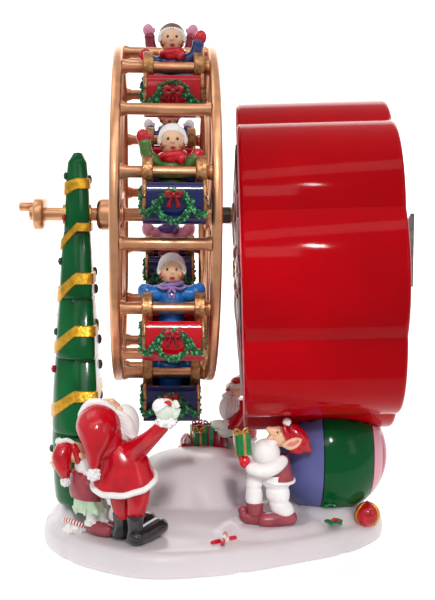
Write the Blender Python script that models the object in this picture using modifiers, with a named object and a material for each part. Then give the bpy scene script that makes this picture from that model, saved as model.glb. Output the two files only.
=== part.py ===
"""A wind-up musical ferris wheel.

Eight sleigh gondolas hang on a rung wheel. Its axle runs from a hand crank, through a flat tiered tree
post, to a flower-shaped housing that holds a wind-up musical movement. All stands on a snow base with
four figures. The origin is on the underside, below the middle of the wheel: X runs along the axle
from the crank to the housing, the front of the object faces -Y, and Z is up.
"""

import math

import bmesh
import bpy
from mathutils import Matrix, Vector

MM = 0.001
GAP = 0.3 * MM  # clearance left between two pieces that sit on or in each other

# Wheel
AXLE_Z = 192.6 * MM
AXLE_RADIUS = 4.0 * MM
WHEEL_RADIUS = 98.0 * MM
RIM_OUTER_X = 29.0 * MM
RIM_WIDTH = 6.0 * MM
RIM_DEPTH = 9.0 * MM
RUNG_COUNT = 16
RUNG_RADIUS = 2.9 * MM
RUNG_INSET = 4.1 * MM
RUNG_CIRCLE = WHEEL_RADIUS - RUNG_INSET
FIRST_RUNG_DEG = 31.2  # from the top towards the front
SPOKE_COUNT = 8
SPOKE_WIDTH = 5.0 * MM
SPOKE_THICKNESS = 2.4 * MM
HUB_RADIUS = 9.3 * MM
HUB_FACE_X = RIM_OUTER_X + 0.5 * MM
HUB_BOSS_X = -40.0 * MM

# Crank
CRANK_INNER_X = -71.0 * MM
CRANK_THICKNESS = 6.0 * MM
CRANK_HUB_RADIUS = 9.0 * MM
CRANK_END_RADIUS = 6.0 * MM
CRANK_BACK = 21.0 * MM
CRANK_RISE = 4.2 * MM
CRANK_PIN_RADIUS = 2.8 * MM
CRANK_PIN_LENGTH = 11.0 * MM
CRANK_SCREW_RADIUS = 3.5 * MM
CRANK_SCREW_HEAD = 2.4 * MM

# Sleigh gondola, measured from its rung
SLEIGH_MID_X = 4.3 * MM
SLEIGH_WIDTH = 32.6 * MM
SLEIGH_LOOP_WIDTH = 5.6 * MM
SLEIGH_LOOP_RADIUS = 8.6 * MM
SLEIGH_LOOP_CLEARANCE = 0.5 * MM
SLEIGH_FLOOR = 26.7 * MM
SLEIGH_FRONT = 17.5 * MM
SLEIGH_BACK = 15.0 * MM
SLEIGH_RIM = 4.4 * MM
SLEIGH_WALL = 2.4 * MM
RIDER_HEAD_RADIUS = 7.2 * MM
RIDER_HEAD_Z = 14.6 * MM
RIDER_BACK = 9.8 * MM

# Tree post
TREE_X = -51.5 * MM
TREE_TOP_Z = 228.0 * MM
TREE_TIER_BOTTOMS = [182.0 * MM, 143.5 * MM, 109.0 * MM, 66.0 * MM, 25.7 * MM]
TREE_TIER_HALF_WIDTHS = [13.0 * MM, 20.5 * MM, 28.0 * MM, 35.0 * MM, 41.0 * MM]
TREE_TIER_THICKNESSES = [15.5 * MM, 20.0 * MM, 24.5 * MM, 28.5 * MM, 28.5 * MM]
TREE_TOP_HALF_WIDTH = 4.5 * MM
TREE_TOP_THICKNESS = 10.0 * MM
TREE_STEP_IN = 0.75  # a tier's top is this share of the tier above's underside
TRUNK_SIZE = (15.0 * MM, 24.0 * MM)
TRUNK_BOTTOM_Z = 15.0 * MM
BUSHING_WALL = 1.6 * MM

# Movement housing
HOUSING_LEFT_X = 45.7 * MM
HOUSING_RIGHT_X = 133.2 * MM
HOUSING_Z = 162.4 * MM
HOUSING_TURN_DEG = -3.9  # about the vertical, its front towards the wheel
HOUSING_LEAN_DEG = -2.0  # its top towards the wheel
LOBE_COUNT = 8
LOBE_CREST = 97.5 * MM
LOBE_CUSP = 90.5 * MM
HOUSING_WALL = 4.0 * MM
COVER_THICKNESS = 3.0 * MM
COVER_RECESS = 0.6 * MM
COVER_POST_CIRCLE = 70.0 * MM
COVER_POST_RADIUS = 4.5 * MM
COVER_SCREW_RADIUS = 1.6 * MM
COVER_SCREW_HEAD_RADIUS = 3.2 * MM
COVER_SCREW_LENGTH = 12.0 * MM
FLOWER_PETALS = 8
FLOWER_RADIUS = 62.0 * MM
FLOWER_PETAL_WIDTH = 17.0 * MM
FLOWER_HEIGHT = 4.5 * MM
SPACER_RADIUS = 5.0 * MM

# Musical movement
GEAR_MODULE = 1.0 * MM
GEAR_THICKNESS = 4.0 * MM
PINION_TEETH = 14
BARREL_TEETH = 26
CYLINDER_TEETH = 14
CYLINDER_WHEEL_TEETH = 28
GOVERNOR_TEETH = 10
BARREL_RADIUS = 11.0 * MM
BARREL_LENGTH = 13.0 * MM
GEAR_PLANE_X = 100.0 * MM
CYLINDER_RADIUS = 5.6 * MM
CYLINDER_LENGTH = 22.0 * MM
CYLINDER_WHEEL_THICKNESS = 3.0 * MM
PIVOT_RADIUS = 1.5 * MM
FLY_LENGTH = 10.0 * MM
FLY_SPAN = 9.0 * MM
FLY_THICKNESS = 1.2 * MM
TRAIN_ANGLE_DEG = -45.0  # the train runs down and back from the barrel
COMB_TEETH = 18
COMB_DEPTH = 13.0 * MM
COMB_THICKNESS = 1.2 * MM
PLATE_THICKNESS = 2.4 * MM
PLATE_STANDOFF = 5.4 * MM
PLATE_MARGIN = 14.0 * MM
STANDOFF_RADIUS = 3.0 * MM
ARBOR_RADIUS = 2.2 * MM
KEY_WING_X = 140.5 * MM
KEY_WING_THICKNESS = 2.6 * MM
KEY_WING_LENGTH = 9.0 * MM
KEY_HALF_SPAN = 22.0 * MM
KEY_STEM_RADIUS = 3.6 * MM

# Snow base
BASE_THICKNESS = 14.0 * MM
BASE_EDGE_ROUND = 5.0 * MM
OUTLINE_UNIT = 1.0 * MM
BASE_FRONT_OUTLINE = [
    (-71.0, 0.0),
    (-66.0, -34.0),
    (-46.0, -64.0),
    (-16.0, -86.0),
    (20.0, -87.0),
    (62.0, -70.0),
    (92.0, -54.0),
    (117.0, -34.0),
    (134.0, 0.0),
]
PAD_INSET = 9.0 * MM
PAD_THICKNESS = 1.2 * MM
SHELF_Z = 27.0 * MM
SHELF_SIZE = (66.0 * MM, 30.0 * MM)
SHELF_PLACE = (35.0 * MM, 71.0 * MM)
ELF_GROUND_Z = 17.5 * MM
ELF_GROUND_SIZE = (44.0 * MM, 46.0 * MM)
RIDGE_RADII = (46.0 * MM, 27.0 * MM, 36.0 * MM)
RIDGE_PLACE = (22.0 * MM, 44.0 * MM)
BACK_BANK_RADII = (46.0 * MM, 30.0 * MM, 32.0 * MM)
BACK_BANK_PLACE = (34.0 * MM, 57.0 * MM)
TREE_BANK_RADII = (21.0 * MM, 50.0 * MM, 17.0 * MM)
BALL_BANK_RADII = (34.0 * MM, 40.0 * MM, 17.0 * MM)
ELF_BANK_RADII = (35.0 * MM, 27.0 * MM, 14.5 * MM)
FIGURE_UNIT = 1.0 * MM

# Ball pedestal and bauble
BALL_CENTRE = (98.0 * MM, -8.0 * MM, 51.0 * MM)
BALL_RADIUS = 35.5 * MM
BAUBLE_RADIUS = 7.4 * MM
BAUBLE_CLEARANCE = 0.7 * MM
BAUBLE_DIRECTION = Vector((21.0, -20.0, -32.0)).normalized()

# Where each figure stands
SANTA_FRONT_PLACE = (-19.0 * MM, -61.0 * MM)
ELF_LEFT_PLACE = (-44.5 * MM, -49.5 * MM)
ELF_RIGHT_PLACE = (62.0 * MM, -39.0 * MM)
SANTA_BACK_PLACE = (46.0 * MM, 69.0 * MM)
SLED_PLACE = (24.0 * MM, 65.0 * MM)

BAUBLE_CENTRE = Vector(BALL_CENTRE) + BAUBLE_DIRECTION * (BALL_RADIUS + BAUBLE_RADIUS + BAUBLE_CLEARANCE)
PINION_PITCH = GEAR_MODULE * PINION_TEETH / 2
BARREL_PITCH = GEAR_MODULE * BARREL_TEETH / 2
BARREL_Z = AXLE_Z - PINION_PITCH - BARREL_PITCH
AXLE_BORE = AXLE_RADIUS + GAP
RIM_INNER_X = RIM_OUTER_X - RIM_WIDTH
PLATE_X = HOUSING_RIGHT_X - COVER_RECESS - COVER_THICKNESS - PLATE_STANDOFF - PLATE_THICKNESS
COVER_X = HOUSING_RIGHT_X - COVER_RECESS - COVER_THICKNESS
AXLE_END_X = PLATE_X + PLATE_THICKNESS
HOUSING_BUSH_X = HOUSING_LEFT_X - FLOWER_HEIGHT - 1.5 * MM
X_AXIS = Vector((1, 0, 0))


# Scene helpers


def clear_scene():
    for old in list(bpy.data.objects):
        bpy.data.objects.remove(old, do_unlink=True)


def material(name, colour, roughness, metallic=0.0):
    made = bpy.data.materials.new(name)
    made.use_nodes = True
    shader = made.node_tree.nodes["Principled BSDF"]
    shader.inputs["Base Color"].default_value = (*colour, 1.0)
    shader.inputs["Roughness"].default_value = roughness
    shader.inputs["Metallic"].default_value = metallic
    return made


def link(mesh, name="solid"):
    made = bpy.data.objects.new(name, mesh)
    bpy.context.scene.collection.objects.link(made)
    return made


def solid_from(bm, matrix=None):
    if matrix:
        bmesh.ops.transform(bm, matrix=matrix, verts=bm.verts)
    mesh = bpy.data.meshes.new("solid")
    bm.to_mesh(mesh)
    bm.free()
    return link(mesh)


def bake(solid):
    """Puts what the modifiers make into the object's own mesh."""
    bpy.context.view_layer.update()
    graph = bpy.context.evaluated_depsgraph_get()
    mesh = bpy.data.meshes.new_from_object(solid.evaluated_get(graph))
    solid.modifiers.clear()
    solid.data = mesh
    return solid


def boolean(base, others, operation):
    for other in others:
        step = base.modifiers.new("boolean", "BOOLEAN")
        step.operation = operation
        step.solver = "EXACT"
        step.object = other
    bake(base)
    for other in others:
        bpy.data.objects.remove(other, do_unlink=True)
    return base


def fuse(solids):
    return boolean(solids[0], solids[1:], "UNION")


def cut(base, *cutters):
    return boolean(base, cutters, "DIFFERENCE")


def bevel(solid, width, segments=2, angle_deg=40):
    step = solid.modifiers.new("bevel", "BEVEL")
    step.width = width
    step.segments = segments
    step.limit_method = "ANGLE"
    step.angle_limit = math.radians(angle_deg)
    return bake(solid)


def copy_of(solid):
    return link(solid.data.copy())


# Basic solids


def block(size, centre, turn_deg=0.0):
    bm = bmesh.new()
    bmesh.ops.create_cube(bm, size=1.0)
    turn = Matrix.Rotation(math.radians(turn_deg), 4, "Z")
    return solid_from(bm, Matrix.Translation(centre) @ turn @ Matrix.Diagonal((*size, 1.0)))


def ball(radius, centre, sides=12, rings=8):
    radii = radius if isinstance(radius, tuple) else (radius, radius, radius)
    bm = bmesh.new()
    bmesh.ops.create_uvsphere(bm, u_segments=sides, v_segments=rings, radius=1.0)
    return solid_from(bm, Matrix.Translation(centre) @ Matrix.Diagonal((*radii, 1.0)))


def rod(start, end, radius, end_radius=None, sides=12):
    """A cylinder, or a cone where the two ends differ."""
    start = Vector(start)
    along = Vector(end) - start
    bm = bmesh.new()
    bmesh.ops.create_cone(
        bm,
        cap_ends=True,
        segments=sides,
        radius1=radius,
        radius2=radius if end_radius is None else end_radius,
        depth=along.length,
    )
    turn = Vector((0, 0, 1)).rotation_difference(along).to_matrix().to_4x4()
    return solid_from(bm, Matrix.Translation(start + along / 2) @ turn)


def axle_rod(x_start, x_end, radius, y=0.0, z=0.0, sides=16):
    return rod((x_start, y, z), (x_end, y, z), radius, sides=sides)


def circle(radius, sides, centre=(0.0, 0.0)):
    steps = [2 * math.pi * i / sides for i in range(sides)]
    return [(centre[0] + radius * math.cos(a), centre[1] + radius * math.sin(a)) for a in steps]


def plate(outlines, thickness):
    """A flat piece in the XY plane, centred on it. Outlines inside the first one are holes."""
    curve = bpy.data.curves.new("outline", "CURVE")
    curve.dimensions = "2D"
    curve.fill_mode = "BOTH"
    curve.extrude = thickness / 2
    for outline in outlines:
        spline = curve.splines.new("POLY")
        spline.points.add(len(outline) - 1)
        spline.use_cyclic_u = True
        for point, (x, y) in zip(spline.points, outline):
            point.co = (x, y, 0.0, 1.0)
    made = bpy.data.objects.new("outline", curve)
    bpy.context.scene.collection.objects.link(made)
    bpy.context.view_layer.update()
    graph = bpy.context.evaluated_depsgraph_get()
    mesh = bpy.data.meshes.new_from_object(made.evaluated_get(graph))
    bpy.data.objects.remove(made, do_unlink=True)
    bm = bmesh.new()
    bm.from_mesh(mesh)
    bmesh.ops.remove_doubles(bm, verts=bm.verts, dist=0.001 * MM)
    bmesh.ops.recalc_face_normals(bm, faces=bm.faces)
    return solid_from(bm)


def upright_plate(outlines, x_start, x_end):
    """A flat piece across the X axis: its outlines are drawn in (Y, Z)."""
    made = plate(outlines, abs(x_end - x_start))
    to_yz = Matrix(((0, 0, 1, (x_start + x_end) / 2), (1, 0, 0, 0), (0, 1, 0, 0), (0, 0, 0, 1)))
    made.data.transform(to_yz)
    return made


def turned_about_x(profile, sides):
    """Turns (x, radius) points about the X axis with a Screw modifier."""
    mesh = bpy.data.meshes.new("profile")
    points = [(radius, 0.0, x) for x, radius in profile]
    edges = [(i, (i + 1) % len(points)) for i in range(len(points))]
    mesh.from_pydata(points, edges, [])
    made = link(mesh)
    step = made.modifiers.new("turn", "SCREW")
    step.axis = "Z"
    step.steps = sides
    step.render_steps = sides
    step.use_merge_vertices = True
    step.merge_threshold = 0.01 * MM
    bake(made)
    made.data.transform(Matrix.Rotation(math.radians(90), 4, "Y"))
    return made


def finish(solid, name, paint, collection, location=(0.0, 0.0, 0.0)):
    """Names a finished piece, paints it and puts it in its place."""
    bpy.context.scene.collection.objects.unlink(solid)
    collection.objects.link(solid)
    solid.name = name
    solid.data.name = name
    solid.location = location
    solid.data.materials.clear()
    solid.data.materials.append(paint)
    solid.data.shade_smooth()
    solid.data.set_sharp_from_angle(angle=math.radians(35))
    return solid


# Wheel


def rung_place(index):
    """Y and Z of a rung, counted from the wheel's centre."""
    angle = math.radians(FIRST_RUNG_DEG + index * 360 / RUNG_COUNT)
    return -RUNG_CIRCLE * math.sin(angle), RUNG_CIRCLE * math.cos(angle)


def spoke(index, x_middle):
    """Spokes meet the rim half way between two gondola rungs."""
    angle = math.radians(FIRST_RUNG_DEG + 360 / RUNG_COUNT + index * 360 / SPOKE_COUNT)
    reach = WHEEL_RADIUS - RIM_DEPTH / 2
    start = 0.82 * HUB_RADIUS
    made = block((SPOKE_THICKNESS, SPOKE_WIDTH, reach - start), (x_middle, 0.0, (reach + start) / 2))
    made.data.transform(Matrix.Rotation(angle, 4, "X"))
    return made


def rim(side):
    """One ring of the wheel with its spokes and hub; side is -1 on the left and 1 on the right."""
    inner_x = side * RIM_INNER_X
    outer_x = side * RIM_OUTER_X
    low, high = sorted((inner_x, outer_x))
    edge = RIM_WIDTH / 4
    inner = WHEEL_RADIUS - RIM_DEPTH
    ring = turned_about_x(
        [
            (high - edge, WHEEL_RADIUS),
            (high, WHEEL_RADIUS - edge),
            (high, inner + edge),
            (high - edge, inner),
            (low + edge, inner),
            (low, inner + edge),
            (low, WHEEL_RADIUS - edge),
            (low + edge, WHEEL_RADIUS),
        ],
        sides=40,
    )
    x_middle = (inner_x + outer_x) / 2
    hub = axle_rod(inner_x, side * HUB_FACE_X, HUB_RADIUS, sides=20)
    bevel(hub, 1.2 * MM, segments=1)
    solids = [ring, hub] + [spoke(i, x_middle) for i in range(SPOKE_COUNT)]
    return cut(fuse(solids), axle_rod(-200 * MM, 200 * MM, AXLE_BORE))


def hub_boss():
    """The long collar that holds the left rim on the axle."""
    boss = axle_rod(-HUB_FACE_X, HUB_BOSS_X, HUB_RADIUS, sides=20)
    bevel(boss, 1.2 * MM, segments=1)
    return cut(boss, axle_rod(-200 * MM, 200 * MM, AXLE_BORE))


def crank_arm():
    """A flat arm that tapers from the axle to the handle pin, reaching back and a little up."""
    reach = math.hypot(CRANK_BACK, CRANK_RISE)
    lean = math.asin((CRANK_HUB_RADIUS - CRANK_END_RADIUS) / reach)
    heading = math.atan2(CRANK_RISE, CRANK_BACK)

    def arc(centre, radius, start, end, count=8):
        steps = [start + (end - start) * i / count for i in range(count + 1)]
        return [(centre[0] + radius * math.cos(a), centre[1] + radius * math.sin(a)) for a in steps]

    side = math.pi / 2 - lean
    outline = arc((0.0, 0.0), CRANK_HUB_RADIUS, heading + side, heading + 2 * math.pi - side)
    outline += arc((CRANK_BACK, CRANK_RISE), CRANK_END_RADIUS, heading - side, heading + side)
    outer_x = CRANK_INNER_X - CRANK_THICKNESS
    arm = upright_plate([outline], outer_x, CRANK_INNER_X)
    bevel(arm, 1.0 * MM, segments=1)
    bore = axle_rod(outer_x - GAP, CRANK_INNER_X + GAP, AXLE_BORE)
    pin_hole = axle_rod(outer_x - GAP, CRANK_INNER_X + GAP, CRANK_PIN_RADIUS, CRANK_BACK, CRANK_RISE)
    return cut(arm, bore, pin_hole)


def crank_pin():
    outer_x = CRANK_INNER_X - CRANK_THICKNESS
    pin = axle_rod(
        outer_x - CRANK_PIN_LENGTH, CRANK_INNER_X, CRANK_PIN_RADIUS - GAP, CRANK_BACK, CRANK_RISE, sides=12
    )
    return bevel(pin, 0.5 * MM, segments=1)


def crank_screw():
    """Its head clamps the arm, and its shank runs into the end of the axle."""
    outer_x = CRANK_INNER_X - CRANK_THICKNESS
    head = axle_rod(outer_x - GAP - CRANK_SCREW_HEAD, outer_x - GAP, CRANK_SCREW_RADIUS + 1.4 * MM)
    bevel(head, 0.6 * MM, segments=1)
    shank = axle_rod(outer_x - 2 * GAP, outer_x + 4.0 * MM, AXLE_RADIUS / 2, sides=10)
    return fuse([head, shank])


def axle():
    """The shaft, with a blind hole in its left end for the crank's screw."""
    left_x = CRANK_INNER_X - CRANK_THICKNESS + GAP
    shaft = axle_rod(left_x, AXLE_END_X, AXLE_RADIUS)
    return cut(shaft, axle_rod(left_x - GAP, left_x + 5.0 * MM, AXLE_RADIUS / 2 + GAP, sides=10))


# Gondola


def sleigh_profile():
    """The sleigh seen from its side, in (Y, Z), with a curled front and an upright back."""
    front, back, floor, rim_z = SLEIGH_FRONT, SLEIGH_BACK, SLEIGH_FLOOR, SLEIGH_RIM
    return [
        (-0.66 * front, -rim_z),
        (-0.86 * front, -1.1 * rim_z),
        (-front, -2.2 * rim_z),
        (-front, -0.62 * floor),
        (-0.86 * front, -0.86 * floor),
        (-0.55 * front, -floor),
        (0.5 * back, -floor),
        (0.9 * back, -0.86 * floor),
        (back, -0.55 * floor),
        (back, -rim_z),
        (0.7 * back, -0.4 * rim_z),
    ]


def sleigh_loop(x_start):
    """A side strap that ends in a ring round the rung."""
    x_end = x_start + SLEIGH_LOOP_WIDTH
    hole = RUNG_RADIUS + SLEIGH_LOOP_CLEARANCE
    ring = axle_rod(x_start, x_end, SLEIGH_LOOP_RADIUS, sides=14)
    strap_depth = 1.9 * SLEIGH_LOOP_RADIUS
    strap = block(
        (SLEIGH_LOOP_WIDTH, strap_depth, 3.4 * SLEIGH_RIM),
        (x_start + SLEIGH_LOOP_WIDTH / 2, 0.0, -1.7 * SLEIGH_RIM),
    )
    return cut(fuse([ring, strap]), axle_rod(x_start - GAP, x_end + GAP, hole, sides=12))


def rider_solids():
    """A child with both arms up, sitting behind the rung."""
    x = SLEIGH_MID_X
    y = RIDER_BACK
    head = ball(RIDER_HEAD_RADIUS, (x, y - 1.0 * MM, RIDER_HEAD_Z), sides=9, rings=6)
    hat = ball(1.06 * RIDER_HEAD_RADIUS, (x, y + 1.5 * MM, RIDER_HEAD_Z + 2.2 * MM), sides=8, rings=5)
    lap = -0.5 * SLEIGH_FLOOR - 2.0 * MM
    torso = rod((x, y, lap), (x, y, RIDER_HEAD_Z - 4.0 * MM), 7.5 * MM, 5.2 * MM, sides=8)
    solids = [torso, head, hat]
    for side in (-1, 1):
        shoulder = (x + side * 0.12 * SLEIGH_WIDTH, y, 4.0 * MM)
        hand = (x + side * 0.43 * SLEIGH_WIDTH, y - 1.5 * MM, 17.5 * MM)
        solids.append(rod(shoulder, hand, 3.6 * MM, 3.0 * MM, sides=6))
        solids.append(ball(3.8 * MM, hand, sides=6, rings=4))
    return solids


def gondola():
    x_start = SLEIGH_MID_X - SLEIGH_WIDTH / 2
    x_end = SLEIGH_MID_X + SLEIGH_WIDTH / 2
    body = upright_plate([sleigh_profile()], x_start, x_end)
    seat_depth = SLEIGH_FRONT + SLEIGH_BACK - 2 * SLEIGH_WALL
    seat = block(
        (SLEIGH_WIDTH - 2 * SLEIGH_LOOP_WIDTH + SLEIGH_WALL, seat_depth, 0.55 * SLEIGH_FLOOR),
        (SLEIGH_MID_X, (SLEIGH_BACK - SLEIGH_FRONT) / 2, -0.55 * SLEIGH_FLOOR / 2),
    )
    cut(body, seat)
    loops = [sleigh_loop(x_start + 0.1 * MM), sleigh_loop(x_end - SLEIGH_LOOP_WIDTH - 0.1 * MM)]
    return fuse([body] + loops + rider_solids())


# Gears


def gear_outline(teeth, centre, phase):
    """Straight-sided teeth with plenty of backlash; phase is the angle of one tooth's middle."""
    pitch = GEAR_MODULE * teeth / 2
    tip = pitch + 0.9 * GEAR_MODULE
    root = pitch - 1.15 * GEAR_MODULE
    step = 2 * math.pi / teeth
    corners = [(-0.26, root), (-0.10, tip), (0.10, tip), (0.26, root)]
    points = []
    for tooth in range(teeth):
        for share, radius in corners:
            angle = phase + (tooth + share) * step
            points.append((centre[0] + radius * math.cos(angle), centre[1] + radius * math.sin(angle)))
    return points


def train_places():
    """Y and Z of the barrel, cylinder and governor, counted from the origin."""
    angle = math.radians(TRAIN_ANGLE_DEG)
    along = Vector((math.cos(angle), math.sin(angle)))
    barrel = Vector((0.0, BARREL_Z))
    cylinder = barrel + along * GEAR_MODULE * (BARREL_TEETH + CYLINDER_TEETH) / 2
    governor = cylinder + along * GEAR_MODULE * (CYLINDER_WHEEL_TEETH + GOVERNOR_TEETH) / 2
    return barrel, cylinder, governor


def gear_phases():
    """A tooth of each driver points at the next gear, which has a gap there."""
    down = -math.pi / 2
    along = math.radians(TRAIN_ANGLE_DEG)
    barrel = math.pi / 2 + math.pi / BARREL_TEETH
    barrel_step = 2 * math.pi / BARREL_TEETH
    offset = (along - barrel) / barrel_step
    cylinder_step = 2 * math.pi / CYLINDER_TEETH
    cylinder = along + math.pi + cylinder_step * (offset - math.floor(offset) + 0.5)
    governor = along + math.pi + math.pi / GOVERNOR_TEETH
    return down, barrel, cylinder, along, governor


def gear(teeth, phase, x_start, thickness, bore=None):
    outlines = [gear_outline(teeth, (0.0, 0.0), phase)]
    if bore:
        outlines.append(circle(bore, 16))
    return upright_plate(outlines, x_start, x_start + thickness)


def spring_barrel(phase):
    body = fuse(
        [
            gear(BARREL_TEETH, phase, GEAR_PLANE_X, GEAR_THICKNESS),
            axle_rod(
                GEAR_PLANE_X + GEAR_THICKNESS - GAP,
                GEAR_PLANE_X + GEAR_THICKNESS + BARREL_LENGTH,
                BARREL_RADIUS,
                sides=24,
            ),
        ]
    )
    far_x = GEAR_PLANE_X + GEAR_THICKNESS + BARREL_LENGTH
    return cut(body, axle_rod(GEAR_PLANE_X - GAP, far_x + GAP, ARBOR_RADIUS + GAP))


def music_cylinder(phase, wheel_phase):
    drum_x = GEAR_PLANE_X - CYLINDER_LENGTH
    wheel_x = drum_x - CYLINDER_WHEEL_THICKNESS
    return fuse(
        [
            gear(CYLINDER_TEETH, phase, GEAR_PLANE_X, GEAR_THICKNESS),
            axle_rod(drum_x - GAP, GEAR_PLANE_X + GAP, CYLINDER_RADIUS, sides=16),
            gear(CYLINDER_WHEEL_TEETH, wheel_phase, wheel_x, CYLINDER_WHEEL_THICKNESS),
            axle_rod(wheel_x - 3.0 * MM, AXLE_END_X, PIVOT_RADIUS, sides=10),
        ]
    )


def governor_fly(phase):
    """A pinion and a two-bladed air brake on one thin arbor."""
    wheel_x = GEAR_PLANE_X - CYLINDER_LENGTH - CYLINDER_WHEEL_THICKNESS
    fly_x = wheel_x - 3.0 * MM - FLY_LENGTH / 2
    return fuse(
        [
            gear(GOVERNOR_TEETH, phase, wheel_x, CYLINDER_WHEEL_THICKNESS),
            axle_rod(fly_x - FLY_LENGTH / 2, AXLE_END_X, PIVOT_RADIUS, sides=10),
            block((FLY_LENGTH, FLY_THICKNESS, 2 * FLY_SPAN), (fly_x, 0.0, 0.0)),
        ]
    )


def movement_plate():
    """The plate that carries the axle, the barrel's arbor, the cylinder and the governor."""
    barrel, cylinder, governor = train_places()
    low_y = -PLATE_MARGIN - 8.0 * MM
    high_y = governor.x + PLATE_MARGIN
    low_z = governor.y - PLATE_MARGIN
    high_z = AXLE_Z + PLATE_MARGIN
    outline = [(low_y, low_z), (high_y, low_z), (high_y, high_z), (low_y, high_z)]
    holes = [
        circle(AXLE_BORE, 16, (0.0, AXLE_Z)),
        circle(ARBOR_RADIUS + GAP, 12, barrel),
        circle(PIVOT_RADIUS + GAP, 10, cylinder),
        circle(PIVOT_RADIUS + GAP, 10, governor),
    ]
    sheet = upright_plate([outline] + holes, PLATE_X, PLATE_X + PLATE_THICKNESS)
    inset = STANDOFF_RADIUS + 2.0 * MM
    corners = [(y, z) for y in (low_y + inset, high_y - inset) for z in (low_z + inset, high_z - inset)]
    posts = [
        axle_rod(PLATE_X + PLATE_THICKNESS / 2, HOUSING_RIGHT_X + 4.0 * MM, STANDOFF_RADIUS, y, z, sides=10)
        for y, z in corners
    ]
    beyond = tilt(block((20.0 * MM, 0.2, 0.2), (COVER_X - GAP + 10.0 * MM, 0.0, HOUSING_Z)))
    return cut(fuse([sheet] + posts), beyond)


def music_comb():
    """A steel comb whose teeth point at the cylinder, on a foot that reaches the movement plate."""
    cylinder = train_places()[1]
    tip_y = cylinder.x + CYLINDER_RADIUS + 0.8 * MM
    back_y = tip_y + COMB_DEPTH
    start_x = GEAR_PLANE_X - CYLINDER_LENGTH + 1.0 * MM
    end_x = GEAR_PLANE_X - 1.0 * MM
    pitch = (end_x - start_x) / COMB_TEETH
    width = end_x - start_x
    bar = block((width, 5.0 * MM, COMB_THICKNESS), ((start_x + end_x) / 2, back_y - 2.5 * MM, cylinder.y))
    teeth = [
        block(
            (0.65 * pitch, COMB_DEPTH - 1.0 * MM, 0.6 * COMB_THICKNESS),
            (start_x + (tooth + 0.5) * pitch, tip_y + (COMB_DEPTH - 1.0 * MM) / 2, cylinder.y),
        )
        for tooth in range(COMB_TEETH)
    ]
    foot_start = start_x - 1.0 * MM
    foot = block(
        (PLATE_X - GAP - foot_start, 4.6 * MM, 5.0 * MM),
        ((PLATE_X - GAP + foot_start) / 2, back_y - 2.2 * MM, cylinder.y - 2.6 * MM),
    )
    return fuse([bar, foot] + teeth)


def winding_key():
    """A flat wing on a stem; its arbor passes the cover and the plate into the barrel."""
    wing_z = KEY_HALF_SPAN
    wing_outline = [
        (-KEY_WING_LENGTH / 2, -0.3 * wing_z),
        (0.3 * KEY_WING_LENGTH, -wing_z),
        (0.5 * KEY_WING_LENGTH, -wing_z),
        (0.5 * KEY_WING_LENGTH, wing_z),
        (0.3 * KEY_WING_LENGTH, wing_z),
        (-KEY_WING_LENGTH / 2, 0.3 * wing_z),
    ]
    wing = plate([wing_outline], KEY_WING_THICKNESS)
    stand_up = Matrix(((1, 0, 0, KEY_WING_X + KEY_WING_LENGTH / 2), (0, 0, 1, 0), (0, 1, 0, 0), (0, 0, 0, 1)))
    wing.data.transform(stand_up)
    bmesh_fix(wing)
    stem = axle_rod(HOUSING_RIGHT_X + GAP, KEY_WING_X + 3.0 * MM, KEY_STEM_RADIUS, sides=12)
    arbor = axle_rod(GEAR_PLANE_X - 1.0 * MM, HOUSING_RIGHT_X + 1.5 * MM, ARBOR_RADIUS, sides=12)
    return fuse([wing, stem, arbor])


def bmesh_fix(solid):
    """Turns the faces outwards again after a mirror-like change of axes."""
    bm = bmesh.new()
    bm.from_mesh(solid.data)
    bmesh.ops.recalc_face_normals(bm, faces=bm.faces)
    bm.to_mesh(solid.data)
    bm.free()


# Housing


def tilt(solid):
    """Turns a solid made square to the axle to the way the housing really stands."""
    centre = Matrix.Translation(((HOUSING_LEFT_X + HOUSING_RIGHT_X) / 2, 0.0, HOUSING_Z))
    turn = Matrix.Rotation(math.radians(HOUSING_TURN_DEG), 4, "Z")
    lean = Matrix.Rotation(math.radians(HOUSING_LEAN_DEG), 4, "Y")
    solid.data.transform(centre @ turn @ lean @ centre.inverted())
    return solid


def flower_outline(crest, cusp, arc_steps=5):
    """A ring of round lobes in (Y, Z) about the housing's centre."""
    half = math.pi / LOBE_COUNT
    half_chord = cusp * math.sin(half)
    chord_out = cusp * math.cos(half)
    rise = crest - chord_out
    radius = (half_chord**2 + rise**2) / (2 * rise)
    lobe_centre = crest - radius
    spread = math.asin(half_chord / radius)
    points = []
    for lobe in range(LOBE_COUNT):
        middle = math.pi / 2 + lobe * 2 * half
        for i in range(arc_steps):
            angle = middle - spread + 2 * spread * i / arc_steps
            y = lobe_centre * math.cos(middle) + radius * math.cos(angle)
            z = lobe_centre * math.sin(middle) + radius * math.sin(angle)
            points.append((y, HOUSING_Z + z))
    return points


def cover_screw_places():
    angles = [math.radians(45 + 90 * i) for i in range(4)]
    return [
        (COVER_POST_CIRCLE * math.cos(a), HOUSING_Z + COVER_POST_CIRCLE * math.sin(a)) for a in angles
    ]


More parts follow.
